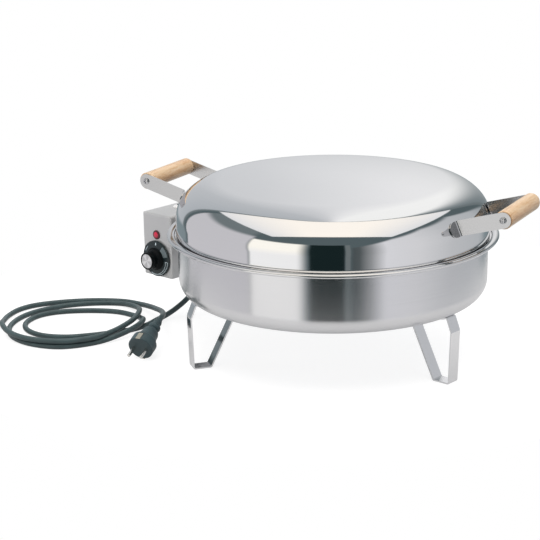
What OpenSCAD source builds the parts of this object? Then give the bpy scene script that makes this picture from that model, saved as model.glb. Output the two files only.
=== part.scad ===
// Round electric table grill: a deep sheet-steel pan on three strap legs, a loose domed lid with two
// side handles, and a control box with thermostat, lamp and reset button on the pan's side.
// Millimetres. The origin is the pan's axis on the standing surface, +Z is up, and the control box
// is at -X with its knob towards -Y.

/* [Sheet metal] */
// Thickness of the pan, lid and box sheet
sheet = 1; // [0.8:0.1:1.4]
// Gap left between pieces that touch but are not fixed to each other
loose_gap = 0.3; // [0.2:0.05:0.5]

/* [Pan] */
// Outer radius of the pan's wall
pan_r = 215.4; // [200:0.2:230]
// Height of the pan's underside above the table
pan_lift = 90.25; // [80:0.25:110]
// Height from the pan's underside to its lid shelf
pan_depth = 85.15; // [82:0.05:100]
// Outer radius of the bend between floor and wall
pan_bend_r = 25.7; // [15:0.1:27]
// Width of the shelf that the lid stands on
shelf_w = 5.1; // [4.6:0.1:7]
// Radial half width of the rolled rim
rim_half_w = 5.25; // [4:0.05:7]
// Half height of the rolled rim
rim_half_h = 3.2; // [2.6:0.1:4.5]
// Height of the rolled rim's centre above the shelf
rim_lift = 0.8; // [0.4:0.1:1.4]

/* [Lid] */
// Play between the lid's skirt and the rolled rim
lid_play = 1.9; // [0.8:0.1:2]
// Height of the lid's upright skirt
lid_skirt_h = 23; // [15:0.5:40]
// Width of the lid's rounded shoulder
shoulder_w = 65.2; // [50:0.2:90]
// Height of the lid's rounded shoulder
shoulder_h = 51.6; // [35:0.2:70]
// Rise of the shallow crown above the shoulder
crown_h = 4.8; // [2:0.1:15]
// Height of the folded hem on the skirt
hem_h = 4; // [2:0.5:8]
// Turn of the lid and its handles about the pan's axis, degrees
lid_turn = 13.7; // [-25:0.1:25]

/* [Lid handles] */
// Distance of the wooden bars from the lid's axis
bar_reach = 267.4; // [255:0.2:290]
// Height of the wooden bars above the lid's skirt top
bar_rise = 34.2; // [25:0.2:45]
// Diameter of the wooden bars
bar_d = 24; // [18:0.5:30]
// Distance over the outer faces of a handle's two straps
strap_span = 114.4; // [90:0.4:140]
// Width of the handle straps
strap_w = 21; // [14:0.5:24]
// Thickness of the handle straps
strap_t = 1.5; // [1:0.1:2.5]
// Inner radius of the bend where a strap turns onto the lid
strap_bend_r = 3; // [2:0.5:5]
// Length of a strap's tab from its bend to the middle of its round end
tab_l = 3.5; // [2:0.5:8]
// Height of the tabs' middle above the skirt top
tab_rise = 16; // [12:0.5:24]

/* [Legs] */
// Width of the leg bar
leg_w = 20; // [12:0.5:26]
// Thickness of the leg bar
leg_t = 2; // [1.5:0.1:3]
// Outer radius of the bends in a leg
leg_bend_r = 3.5; // [3.2:0.1:6]
// Inner end of the leg's top run, in from the pan's side
leg_start_in = 78.9; // [75:0.5:90]
// Outer end of the leg's top run, in from the pan's side
leg_end_in = 11.9; // [9:0.1:23]
// Leg's knee, in from the pan's side
knee_in = 4.9; // [-4:0.1:8]
// Height of a leg's knee above the table
knee_z = 73.6; // [60:0.2:76]
// Outer end of the foot, in from the pan's side
foot_out_in = 7.2; // [0:0.2:20]
// Inner end of the foot, in from the pan's side
foot_in_in = 33.8; // [30:0.2:50]
// Leg screws, in from the pan's side
leg_screw_in = [63.4, 37.4]; // [30:0.2:70]
// Diameter of the leg screws
leg_screw_d = 4; // [3:0.5:5]

/* [Control box] */
// Gap between the pan's wall and the box, bridged by the neck
box_gap = 29.6; // [20:0.2:50]
// Depth of the box along X
box_x = 58.7; // [52:0.1:80]
// Front face of the box, on the knob's side
box_front = -74.7; // [-90:0.1:-65]
// Back face of the box
box_back = 33; // [33:0.1:60]
// Height of the box's lower edge
box_low = 76.6; // [70:0.1:80]
// Height of the box's top face
box_top = 171.3; // [165:0.1:185]
// Outer radius of the folds in the box sheet
fold_r = 3; // [2:0.2:5]
// Width of the lips that the base plate is screwed to
lip_w = 9; // [7:0.5:12]
// Diameter of the small box screws
box_screw_d = 3; // [2.5:0.5:4]

/* [Neck] */
// Width of the neck along Y
neck_w = 60; // [50:1:64]
// Height of the neck
neck_h = 38; // [34:1:46]
// Height of the neck's middle above the pan's underside
neck_rise = 47; // [46:0.5:52]
// Width of the neck's riveted ears
ear_w = 11; // [9:0.5:14]
// Thickness of the neck's sheet
neck_t = 1.2; // [1:0.1:2]
// Diameter of the rivets
rivet_d = 3.2; // [2.4:0.2:4]

/* [Controls] */
// X of the knob, lamp and thermostat, measured from the box's outer side
dial_x = 28.7; // [28:0.1:34]
// Height of the knob's axis above the box's lower edge
dial_z = 27.2; // [27.2:0.1:34]
// Diameter of the knob's skirt
skirt_d = 54; // [44:0.5:54]
// Diameter of the knob's head
knob_d = 26; // [22:0.5:30]
// How far the knob stands out of the box
knob_h = 22.5; // [18:0.5:30]
// Diameter of the thermostat's shaft
shaft_d = 6; // [5:0.5:6.5]
// Radial running clearance of shafts and buttons
run_gap = 0.06; // [0.02:0.01:0.1]
// Outer diameter of the lamp's bezel
lamp_d = 14; // [11:0.5:16]
// Height of the lamp above the knob's axis
lamp_rise = 36; // [35.5:0.1:42]
// Diameter of the reset button's round bezel
reset_bezel_d = 17.6; // [14:0.2:20]
// Diameter of the reset button
reset_d = 4.4; // [3:0.2:6]
// Travel of the reset button
reset_travel = 2; // [1:0.1:2.5]
// X of the reset button, measured from the box's outer side
reset_x = 22.7; // [18:0.1:28]
// Y of the reset button, measured from the box's front face
reset_y = 53.7; // [44:0.1:58]

/* [Heating element] */
// Diameter of the element's tube
tube_d = 8; // [6:0.1:8.6]
// Centreline radius of the element's outer turn
turn_out_r = 165; // [155:0.5:180]
// Centreline radius of the element's inner turn
turn_in_r = 115; // [100:0.5:120]
// Radius of the element's bends into its terminal legs
turn_bend_r = 20; // [17:0.5:28]
// Distance between the element's two terminal legs
terminal_pitch = 28; // [26:0.5:32]
// Height of the element above the pan's underside
element_rise = 37.75; // [36:0.25:42]
// Width of the element's brackets
bracket_w = 12; // [8:0.5:16]
// Thickness of the element's brackets and clips
bracket_t = 1.5; // [1:0.1:2]

/* [Grill grate] */
// Play between the grate's ring and the pan's wall
grate_play = 12; // [4:0.2:20]
// Diameter of the ring and tie wires
ring_wire_d = 6; // [5:0.5:7]
// Diameter of the bars
bar_wire_d = 4; // [3:0.5:5]
// Distance between the bars
bar_pitch = 18; // [14:0.5:24]
// Distance of the tie wires from the middle
tie_y = 92; // [60:1:120]
// Height of the grate's seats above the pan's underside
grate_rise = 56; // [54:0.5:64]

/* [Reflector] */
// Play between the dish's edge and the pan's wall
dish_play = 15.4; // [10:0.2:24]
// Height of the reflector dish's sloping edge
dish_h = 12; // [8:0.5:16]
// Sheet thickness of the reflector dish
dish_t = 0.8; // [0.6:0.1:1.2]

/* [Cord and plug] */
// Diameter of the cord
cord_d = 8; // [7:0.1:8.4]
// Length of the plug from its cord end to its face
plug_l = 64; // [56:0.5:72]
// Diameter of the plug's face
plug_d = 37; // [34:0.2:37.4]
// Diameter of the plug's pins
pin_d = 4.8; // [4:0.1:5]
// Length of the plug's pins
pin_l = 19; // [17:0.5:20]
// Distance between the plug's pins
pin_pitch = 19; // [17:0.5:20]

/* [Hidden] */

round_fn = 96;
small_fn = 32;
wire_fn = 20;
cut = 1;
weld = 0.05;
screw_slack = 0.2;

shelf_z = pan_lift + pan_depth;
shelf_r = pan_r - sheet + shelf_w;
rim_r = shelf_r + rim_half_w;
rim_z = shelf_z + rim_lift;
floor_z = pan_lift + sheet;
wall_in_r = pan_r - sheet;

lid_r = shelf_r - lid_play;
lid_low = shelf_z + loose_gap;
lid_skirt_top = lid_low + lid_skirt_h;
shoulder_r = lid_r - shoulder_w;
crown_angle = 86;

box_right = -(pan_r + box_gap);
box_left = box_right - box_x;
dial_px = box_left + dial_x;
dial_pz = box_low + dial_z;
lamp_pz = dial_pz + lamp_rise;
reset_px = box_left + reset_x;
reset_py = box_front + reset_y;
neck_z = pan_lift + neck_rise;

leg_start_r = pan_r - leg_start_in;
leg_end_r = pan_r - leg_end_in;
knee_r = pan_r - knee_in;
foot_out_r = pan_r - foot_out_in;
foot_in_r = pan_r - foot_in_in;
leg_screw_r = [for (d = leg_screw_in) pan_r - d];

element_z = pan_lift + element_rise;
dish_lip = 3;
dish_r = wall_in_r - dish_play - dish_lip;
dish_z = floor_z + leg_screw_d * 0.65;
grate_r = wall_in_r - grate_play - ring_wire_d / 2;
grate_seat_z = pan_lift + grate_rise;
ring_z = grate_seat_z + loose_gap + ring_wire_d / 2;
bars_z = ring_z + ring_wire_d / 2 + bar_wire_d / 2 - 1;

steel = [0.80, 0.81, 0.82];
brushed = [0.72, 0.74, 0.76];
zinc = [0.62, 0.64, 0.66];
beech = [0.85, 0.60, 0.38];
black = [0.07, 0.08, 0.08];
rubber = [0.10, 0.12, 0.12];
lamp_red = [0.75, 0.08, 0.16];
cream = [0.85, 0.82, 0.74];

// ---------- outline helpers ----------

function unit(v) = v / norm(v);
function flip(pts) = [for (i = [len(pts) - 1:-1:0]) pts[i]];

// Points on an ellipse arc from angle "from" to angle "to"
function arc(centre, half_w, half_h, from, to, n) =
    [for (i = [0:n]) let (t = from + (to - from) * i / n)
        [centre[0] + half_w * cos(t), centre[1] + half_h * sin(t)]];

// Left normal of the edge from p to q
function left_of(p, q) = let (d = unit(q - p)) [-d[1], d[0]];

// Corner i of a counter-clockwise outline, moved inwards from both of its edges by d
function inset_corner(pts, i, d) =
    let (
        n = len(pts),
        n1 = left_of(pts[(i + n - 1) % n], pts[i]),
        n2 = left_of(pts[i], pts[(i + 1) % n])
    )
    pts[i] + (n1 + n2) * d / (1 + n1 * n2);

function inset(pts, d) = [for (i = [0:len(pts) - 1]) inset_corner(pts, i, d)];

// The same outline with each corner rounded to radius r
function rounded(pts, r, steps = 4) =
    [for (i = [0:len(pts) - 1])
        let (
            n = len(pts),
            n1 = left_of(pts[(i + n - 1) % n], pts[i]),
            n2 = left_of(pts[i], pts[(i + 1) % n]),
            centre = inset_corner(pts, i, r)
        )
        for (k = [0:steps]) centre - r * unit(n1 * (steps - k) + n2 * k)];

module rod(d, from, to, fn = small_fn) {
    // Straight round rod between two points
    v = to - from;
    translate(from)
        rotate([0, acos(v[2] / norm(v)), atan2(v[1], v[0])])
            cylinder(d = d, h = norm(v), $fn = fn);
}

module around(angles) {
    for (a = angles)
        rotate([0, 0, a])
            children();
}

// ---------- pan ----------

leg_angles = [0, 120, 240];
ear_angle = asin((neck_w / 2 + ear_w / 2) / pan_r);
neck_rivet_z = [neck_z - neck_h / 4, neck_z + neck_h / 4];
capillary_z = element_z + 12;
capillary_d = 2;

function pan_profile() =
    let (
        bend = [pan_r - pan_bend_r, pan_lift + pan_bend_r],
        bend_in = pan_bend_r - sheet
    )
    concat(
        [[0, floor_z]],
        arc(bend, bend_in, bend_in, -90, 0, 6),
        [[wall_in_r, shelf_z]],
        arc([rim_r, rim_z], rim_half_w, rim_half_h, 195, -115, 18),
        arc([rim_r, rim_z], rim_half_w - sheet, rim_half_h - sheet, -115, 200, 18),
        [[rim_r - (rim_half_w - sheet) * cos(20), shelf_z - sheet], [pan_r, shelf_z - sheet]],
        arc(bend, pan_bend_r, pan_bend_r, 0, -90, 6),
        [[0, pan_lift]]
    );

module pan_shell() {
    color(steel)
        difference() {
            rotate_extrude($fn = round_fn)
                polygon(pan_profile());
            around(leg_angles)
                for (r = leg_screw_r)
                    translate([r, 0, pan_lift - cut])
                        cylinder(d = leg_screw_d + screw_slack, h = sheet + 2 * cut, $fn = small_fn);
            for (side = [-1, 1])
                translate([-pan_r - cut, side * terminal_pitch / 2, element_z])
                    rotate([0, 90, 0])
                        cylinder(d = tube_d + screw_slack, h = 4 * sheet, $fn = small_fn);
            translate([-pan_r - cut, 0, capillary_z])
                rotate([0, 90, 0])
                    cylinder(d = capillary_d + screw_slack, h = 4 * sheet, $fn = small_fn);
            around([180 - ear_angle, 180 + ear_angle])
                for (z = neck_rivet_z)
                    translate([pan_r - 2 * sheet, 0, z])
                        rotate([0, 90, 0])
                            cylinder(d = rivet_d, h = 4 * sheet, $fn = small_fn);
        }
}

// ---------- lid ----------

// Lid outline from the skirt's foot to the axis, moved inwards by "off"
function lid_curve(off) =
    let (
        edge = arc([shoulder_r, lid_skirt_top], shoulder_w - off, shoulder_h - off, 0, crown_angle, 14),
        last = edge[len(edge) - 1],
        crown_r = (last[0] * last[0] + crown_h * crown_h) / (2 * crown_h)
    )
    concat(
        edge,
        [for (i = [1:5])
            let (r = last[0] * (1 - i / 5))
            [r, last[1] + crown_h - crown_r + sqrt(crown_r * crown_r - r * r)]]
    );

module lid_shell() {
    color(steel)
        rotate_extrude($fn = round_fn)
            polygon(concat(
                [[lid_r, lid_low]],
                lid_curve(0),
                flip(lid_curve(sheet)),
                [
                    [lid_r - sheet, lid_low + hem_h],
                    [lid_r - 2 * sheet, lid_low + hem_h],
                    [lid_r - 2 * sheet, lid_low]
                ]
            ));
}

// ---------- lid handles ----------

tab_angle = asin(tab_rise / shoulder_h);
tab_r = shoulder_r + shoulder_w * cos(tab_angle);
tab_z = lid_skirt_top + tab_rise;
// Elevation of the lid's surface normal at the tab
normal_up = atan2(sin(tab_angle) / shoulder_h, cos(tab_angle) / shoulder_w);
strap_y = strap_span / 2;
tab_mid_y = strap_y + strap_bend_r + tab_l / 2;
tab_turn = asin(tab_mid_y / tab_r);
// Turn of the tab away from square to the strap, and tilt of the bend's axis
tab_back = asin(cos(normal_up) * sin(tab_turn));
bend_tilt = atan2(sin(normal_up), cos(normal_up) * cos(tab_turn));

// A point of the handle's side view in the tilted frame of the bend, and its height there
function tilted(x, z) = [
    x * cos(bend_tilt) + z * sin(bend_tilt),
    -x * sin(bend_tilt) + z * cos(bend_tilt)
];
tab_seat = tilted(tab_r * cos(tab_turn), tab_z);
bar_seat = tilted(bar_reach, lid_skirt_top + bar_rise);
bend_y = strap_y + strap_bend_r;
bend_x = tab_seat[0] + (strap_bend_r + strap_t + (tab_mid_y - bend_y) * sin(tab_back)) / cos(tab_back);
bar_l = strap_span - 2 * strap_t;
screw_head_d = 9;
screw_head_h = 2.6;
wood_screw_d = 4;
wood_screw_l = 26;

module strap() {
    // One bent strap on the -Y side: side plate, bend and round-ended tab on the lid
    along = unit(bar_seat - [bend_x, tab_seat[1]]);
    across = [-along[1], along[0]] * strap_w / 2;
    rotate([0, -bend_tilt, 0])
        difference() {
            union() {
                translate([0, strap_t - strap_y, 0])
                    rotate([90, 0, 0])
                        linear_extrude(strap_t) {
                            polygon([
                                [bend_x - weld, tab_seat[1] - strap_w / 2],
                                bar_seat - across,
                                bar_seat + across,
                                [bend_x - weld, tab_seat[1] + strap_w / 2]
                            ]);
                            translate(bar_seat)
                                circle(d = strap_w, $fn = 64);
                        }
                translate([bend_x, -bend_y, tab_seat[1]]) {
                    translate([0, 0, -strap_w / 2])
                        rotate([0, 0, 90])
                            rotate_extrude(angle = 90 - tab_back, $fn = round_fn)
                                translate([strap_bend_r, 0])
                                    square([strap_t, strap_w]);
                    rotate([0, 0, -tab_back])
                        translate([-strap_bend_r, 0, 0])
                            rotate([0, -90, 0])
                                linear_extrude(strap_t) {
                                    translate([-strap_w / 2, -tab_l])
                                        square([strap_w, tab_l + weld]);
                                    intersection() {
                                        translate([0, -tab_l])
                                            circle(d = strap_w, $fn = 64);
                                        translate([-strap_w / 2, -tab_l - strap_w / 2])
                                            square([strap_w, strap_w / 2]);
                                    }
                                }
                }
            }
            translate([bar_seat[0], cut - strap_y + strap_t, bar_seat[1]])
                rotate([90, 0, 0])
                    cylinder(d = wood_screw_d + screw_slack, h = strap_t + 2 * cut, $fn = small_fn);
        }
}

module handle_straps() {
    color(brushed) {
        strap();
        mirror([0, 1, 0])
            strap();
    }
}

module handle_bar() {
    edge_r = 1.2;
    half = bar_l / 2;
    color(beech)
        translate([bar_reach, 0, lid_skirt_top + bar_rise])
            rotate([90, 0, 0])
                difference() {
                    rotate_extrude($fn = round_fn)
                        polygon(concat(
                            [[0, -half]],
                            arc([bar_d / 2 - edge_r, edge_r - half], edge_r, edge_r, -90, 0, 3),
                            arc([bar_d / 2 - edge_r, half - edge_r], edge_r, edge_r, 0, 90, 3),
                            [[0, half]]
                        ));
                    for (side = [0, 1])
                        mirror([0, 0, side])
                            translate([0, 0, half - wood_screw_l])
                                cylinder(d = wood_screw_d, h = wood_screw_l + cut, $fn = small_fn);
                }
}

module turned_lid(half_turn = 0) {
    rotate([0, 0, lid_turn + half_turn])
        children();
}

module right_handle_straps() {
    turned_lid()
        handle_straps();
}

module left_handle_straps() {
    turned_lid(180)
        handle_straps();
}

module right_handle_bar() {
    turned_lid()
        handle_bar();
}

module left_handle_bar() {
    turned_lid(180)
        handle_bar();
}

module pan_head_screw(head_d, head_h, d, l) {
    // Head from z = 0 upwards, shank downwards, cross recess in the head
    recess_w = head_d * 0.14;
    difference() {
        union() {
            rotate_extrude($fn = round_fn)
                polygon(concat(
                    [[0, 0], [head_d / 2, 0], [head_d / 2, head_h * 0.35]],
                    arc([0, head_h * 0.35], head_d / 2, head_h * 0.65, 15, 90, 5)
                ));
            translate([0, 0, -l])
                cylinder(d = d, h = l + head_h * 0.3, $fn = small_fn);
        }
        for (a = [0, 90])
            rotate([0, 0, a])
                translate([-head_d * 0.3, -recess_w / 2, head_h * 0.45])
                    cube([head_d * 0.6, recess_w, head_h]);
    }
}

module handle_screws() {
    color(zinc)
        for (end = [0, 180])
            turned_lid(end)
                for (side = [0, 1])
                    mirror([0, side, 0])
                        translate([bar_reach, -strap_y, lid_skirt_top + bar_rise])
                            rotate([90, 0, 0])
                                pan_head_screw(screw_head_d, screw_head_h, wood_screw_d - 2 * run_gap,
                                    wood_screw_l);
}

// ---------- legs ----------

function leg_outline() = [
    [leg_start_r, pan_lift],
    [foot_in_r, 0],
    [foot_out_r, 0],
    [knee_r, knee_z],
    [leg_end_r, pan_lift]
];

module leg() {
    // Flat bar bent to a closed loop, standing in the radial plane
    color(brushed)
        difference() {
            rotate([90, 0, 0])
                linear_extrude(leg_w, center = true)
                    difference() {
                        polygon(rounded(leg_outline(), leg_bend_r));
                        polygon(rounded(inset(leg_outline(), leg_t), leg_bend_r - leg_t));
                    }
            for (r = leg_screw_r)
                translate([r, 0, pan_lift - leg_t - cut])
                    cylinder(d = leg_screw_d + screw_slack, h = leg_t + 2 * cut, $fn = small_fn);
        }
}

module right_leg() {
    leg();
}

module back_leg() {
    rotate([0, 0, leg_angles[1]])
        leg();
}

module front_leg() {
    rotate([0, 0, leg_angles[2]])
        leg();
}

leg_nut_h = leg_screw_d * 0.8;
leg_nut_d = leg_screw_d * 2;

module leg_screws() {
    color(zinc)
        around(leg_angles)
            for (r = leg_screw_r)
                translate([r, 0, floor_z])
                    pan_head_screw(leg_screw_d * 2, leg_screw_d * 0.6, leg_screw_d,
                        sheet + leg_t + leg_nut_h + 1.5);
}

module leg_nuts() {
    color(zinc)
        around(leg_angles)
            for (r = leg_screw_r)
                translate([r, 0, pan_lift - leg_t - leg_nut_h])
                    difference() {
                        cylinder(d = leg_nut_d, h = leg_nut_h, $fn = 6);
                        translate([0, 0, -cut])
                            cylinder(d = leg_screw_d + 2 * run_gap, h = leg_nut_h + 2 * cut, $fn = small_fn);
                    }
}

// ---------- neck between pan and box ----------

window_in = 5;

module neck_section(extra) {
    // Rectangular bar along X through the neck, "extra" thicker all round
    translate([box_right, -neck_w / 2 - extra, neck_z - neck_h / 2 - extra])
        cube([box_gap + pan_bend_r, neck_w + 2 * extra, neck_h + 2 * extra]);
}

module neck_housing() {
    ear_y = neck_w / 2;
    color(brushed)
        difference() {
            union() {
                difference() {
                    neck_section(0);
                    neck_section(-neck_t);
                    translate([0, 0, neck_z - neck_h])
                        cylinder(r = pan_r, h = 2 * neck_h, $fn = round_fn);
                }
                for (side = [0, 1])
                    mirror([0, side, 0])
                        translate([box_right, ear_y - neck_t, neck_z - neck_h / 2])
                            cube([neck_t, ear_w + neck_t, neck_h]);
                intersection() {
                    difference() {
                        translate([0, 0, neck_z - neck_h / 2])
                            cylinder(r = pan_r + neck_t, h = neck_h, $fn = round_fn);
                        translate([0, 0, neck_z - neck_h])
                            cylinder(r = pan_r, h = 2 * neck_h, $fn = round_fn);
                    }
                    for (side = [0, 1])
                        mirror([0, side, 0])
                            translate([-pan_r - pan_bend_r, ear_y - neck_t, neck_z - neck_h / 2])
                                cube([2 * pan_bend_r, ear_w + neck_t, neck_h]);
                }
            }
            around([180 - ear_angle, 180 + ear_angle])
                for (z = neck_rivet_z)
                    translate([pan_r - cut, 0, z])
                        rotate([0, 90, 0])
                            cylinder(d = rivet_d, h = neck_t + 2 * cut, $fn = small_fn);
            neck_box_rivets()
                translate([0, 0, -cut])
                    cylinder(d = rivet_d, h = neck_t + 2 * cut, $fn = small_fn);
        }
}

module neck_box_rivets() {
    // Places on the box's wall, with +Z of the children towards the pan
    for (side = [-1, 1])
        for (z = neck_rivet_z)
            translate([box_right, side * (neck_w / 2 + ear_w / 2), z])
                rotate([0, 90, 0])
                    children();
}

module rivet(grip) {
    // Pop rivet: domed head at z = 0, body through the grip below it
    head_d = rivet_d * 1.9;
    rotate_extrude($fn = round_fn)
        polygon(concat(
            [[0, -grip - 1], [rivet_d * 0.7, -grip - 1], [rivet_d * 0.7, -grip], [rivet_d / 2, -grip],
                [rivet_d / 2, 0], [head_d / 2, 0]],
            arc([0, 0.3], head_d / 2, 1, 10, 90, 5)
        ));
}

module neck_rivets() {
    color(zinc) {
        around([180 - ear_angle, 180 + ear_angle])
            for (z = neck_rivet_z)
                translate([pan_r + neck_t, 0, z])
                    rotate([0, 90, 0])
                        rivet(neck_t + sheet);
        neck_box_rivets()
            translate([0, 0, neck_t])
                rivet(neck_t + sheet);
    }
}

// ---------- control box ----------

function top_rounded(w0, w1, z0, z1, r) =
    concat([[w0, z0], [w1, z0]], arc([w1 - r, z1 - r], r, r, 0, 90, 5), arc([w0 + r, z1 - r], r, r, 90, 180, 5));

module box_form(off) {
    // Box with rounded upper and upright folds, moved inwards by "off", open below when off > 0
    r = fold_r - off;
    low = off > 0 ? box_low - cut : box_low;
    intersection() {
        translate([box_left + off, 0, 0])
            rotate([90, 0, 90])
                linear_extrude(box_x - 2 * off)
                    polygon(top_rounded(box_front + off, box_back - off, low, box_top - off, r));
        translate([0, box_back - off, 0])
            rotate([90, 0, 0])
                linear_extrude(box_back - box_front - 2 * off)
                    polygon(top_rounded(box_left + off, box_right - off, low, box_top - off, r));
        translate([0, 0, low])
            linear_extrude(box_top - low)
                polygon(rounded([
                    [box_left + off, box_front + off],
                    [box_right - off, box_front + off],
                    [box_right - off, box_back - off],
                    [box_left + off, box_back - off]
                ], r));
    }
}

base_screw_y = [box_front + 12, box_back - 12];
base_screw_x = [box_left + sheet + lip_w / 2, box_right - sheet - lip_w / 2];
lip_z = box_low + sheet;

module box_lips(hole_d) {
    // Inward lips along the two long sides, with the screw holes
    difference() {
        for (x = [box_left + sheet / 2, box_right - sheet / 2 - lip_w])
            translate([x, box_front + fold_r + 1, lip_z])
                cube([lip_w, box_back - box_front - 2 * fold_r - 2, sheet]);
        for (x = base_screw_x)
            for (y = base_screw_y)
                translate([x, y, lip_z - cut])
                    cylinder(d = hole_d, h = sheet + 2 * cut, $fn = small_fn);
    }
}

module front_at(x, z) {
    // Children's +Z points out of the box's front face
    translate([x, box_front, z])
        rotate([90, 0, 0])
            children();
}

bush_d = shaft_d + 4;
lamp_barrel_d = lamp_d - 3;
reset_neck_d = 10;

module box_cover() {
    color(brushed)
        union() {
            difference() {
                box_form(0);
                box_form(sheet);
                front_at(dial_px, dial_pz)
                    translate([0, 0, -2 * sheet])
                        cylinder(d = bush_d + screw_slack, h = 3 * sheet, $fn = small_fn);
                front_at(dial_px, lamp_pz)
                    translate([0, 0, -2 * sheet])
                        cylinder(d = lamp_barrel_d + screw_slack, h = 3 * sheet, $fn = small_fn);
                translate([reset_px, reset_py, box_top - 2 * sheet])
                    cylinder(d = reset_neck_d + screw_slack, h = 3 * sheet, $fn = small_fn);
                translate([box_right - 2 * sheet, window_in - neck_w / 2, neck_z - neck_h / 2 + window_in])
                    cube([3 * sheet, neck_w - 2 * window_in, neck_h - 2 * window_in]);
                neck_box_rivets()
                    translate([0, 0, -2 * sheet])
                        cylinder(d = rivet_d, h = 3 * sheet, $fn = small_fn);
            }
            box_lips(box_screw_d);
        }
}

cord_exit = [-277, 13, 54];
relief_collar_d = 17;
relief_neck_d = 13;

module box_base() {
    side_gap = sheet + screw_slack;
    color(brushed)
        difference() {
            translate([0, 0, box_low])
                linear_extrude(sheet)
                    polygon(rounded([
                        [box_left + side_gap, box_front + side_gap],
                        [box_right - side_gap, box_front + side_gap],
                        [box_right - side_gap, box_back - side_gap],
                        [box_left + side_gap, box_back - side_gap]
                    ], fold_r - sheet));
            for (x = base_screw_x)
                for (y = base_screw_y)
                    translate([x, y, box_low - cut])
                        cylinder(d = box_screw_d + screw_slack, h = sheet + 2 * cut, $fn = small_fn);
            translate([cord_exit[0], cord_exit[1], box_low - cut])
                cylinder(d = relief_neck_d + screw_slack, h = sheet + 2 * cut, $fn = small_fn);
        }
}

module box_screws() {
    color(zinc)
        for (x = base_screw_x)
            for (y = base_screw_y)
                translate([x, y, box_low])
                    rotate([180, 0, 0])
                        pan_head_screw(box_screw_d * 1.9, box_screw_d * 0.6, box_screw_d - 2 * run_gap,
                            2 * sheet + 5);
}

// ---------- thermostat and knob ----------

body_back = 30;
body_w = 40;
body_low = 5;
bush_out = 3.2;
shaft_in = 14;
nut_h = 2;
skirt_back = 0.8;
skirt_front = 4.6;
skirt_edge = 3.4;
hub_d = 22;
flange_d = 34;
insert_d = 21.6;
insert_t = 0.8;

module thermostat_body() {
    color(cream)
        front_at(dial_px, dial_pz)
            difference() {
                union() {
                    translate([-body_w / 2, 1 - dial_z + body_low, -sheet - body_back])
                        cube([body_w, body_w, body_back]);
                    translate([0, 0, -sheet - cut])
                        cylinder(d = bush_d, h = sheet + cut + bush_out, $fn = small_fn);
                }
                translate([0, 0, -sheet - shaft_in - loose_gap])
                    cylinder(d = shaft_d + 2 * run_gap, h = shaft_in + bush_out + 3 * cut, $fn = small_fn);
            }
}

module thermostat_bulb() {
    // Feeler in the pan under the grate, with its capillary through the wall to the thermostat
    bulb_d = 6;
    bulb_end = pan_r - 66;
    bulb_start = pan_r - 11;
    corner_in = [box_right - 13, 0, capillary_z];
    seat = [dial_px, box_front + sheet + body_back, dial_pz + 8];
    corner_down = [dial_px, -12, seat[2]];
    color(zinc) {
        rod(bulb_d, [-bulb_start, 0, capillary_z], [-bulb_end, 0, capillary_z]);
        rod(capillary_d, corner_in, [weld - bulb_start, 0, capillary_z]);
        rod(capillary_d, corner_in, corner_down);
        rod(capillary_d, corner_down, seat);
        for (p = [corner_in, corner_down])
            translate(p)
                sphere(d = capillary_d + 0.2, $fn = small_fn);
    }
}

module thermostat_nut() {
    color(zinc)
        front_at(dial_px, dial_pz)
            difference() {
                cylinder(d = bush_d * 1.5, h = nut_h, $fn = 6);
                translate([0, 0, -cut])
                    cylinder(d = bush_d + 2 * run_gap, h = nut_h + 2 * cut, $fn = small_fn);
            }
}

module thermostat_shaft() {
    color(zinc)
        front_at(dial_px, dial_pz)
            translate([0, 0, -sheet - shaft_in])
                cylinder(d = shaft_d, h = sheet + shaft_in + knob_h - 5, $fn = small_fn);
}

module knob() {
    // Black turning knob: hub, flange on the skirt, waisted grip and a round head
    head_r = knob_d / 2;
    waist_r = head_r - 1;
    waist = [waist_r, knob_h - 9];
    color(black)
        front_at(dial_px, dial_pz)
            difference() {
                rotate_extrude($fn = round_fn)
                    polygon(concat(
                        [[0, bush_out + loose_gap], [hub_d / 2, bush_out + loose_gap],
                            [hub_d / 2, skirt_front], [flange_d / 2, skirt_front],
                            [flange_d / 2, skirt_front + 0.8]],
                        [for (i = [1:5])
                            let (t = i / 5)
                            [flange_d / 2 + (waist[0] - flange_d / 2) * sin(90 * t),
                                skirt_front + 0.8 + (waist[1] - skirt_front - 0.8) * (1 - cos(90 * t))]],
                        [[head_r, knob_h - 6]],
                        arc([head_r - 1, knob_h - 1], 1, 1, 0, 90, 3),
                        [[insert_d / 2 + 0.1, knob_h], [insert_d / 2 + 0.1, knob_h - 1.4], [0, knob_h - 1.4]]
                    ));
                translate([0, 0, -cut])
                    cylinder(d = shaft_d + 2 * run_gap, h = knob_h - 5 + loose_gap + cut, $fn = small_fn);
            }
}

module knob_skirt() {
    // Dished dial plate round the knob's hub
    color(black)
        front_at(dial_px, dial_pz)
            rotate_extrude($fn = round_fn)
                polygon([
                    [hub_d / 2 + run_gap, skirt_front],
                    [flange_d / 2, skirt_front],
                    [skirt_d / 2 - 1, skirt_edge],
                    [skirt_d / 2, skirt_edge - 0.6],
                    [skirt_d / 2, skirt_back],
                    [skirt_d / 2 - 1.5, skirt_back],
                    [skirt_d / 2 - 2, skirt_edge - 1.4],
                    [flange_d / 2, skirt_front - 1.4],
                    [hub_d / 2 + run_gap, skirt_front - 1.4]
                ]);
}

module knob_insert() {
    color(steel)
        front_at(dial_px, dial_pz)
            translate([0, 0, knob_h - 1.4])
                rotate_extrude($fn = round_fn)
                    polygon([
                        [0, 0], [insert_d / 2, 0], [insert_d / 2, insert_t],
                        [insert_d / 2 - 0.4, insert_t + 0.2], [0, insert_t]
                    ]);
}

// ---------- lamp ----------

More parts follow.
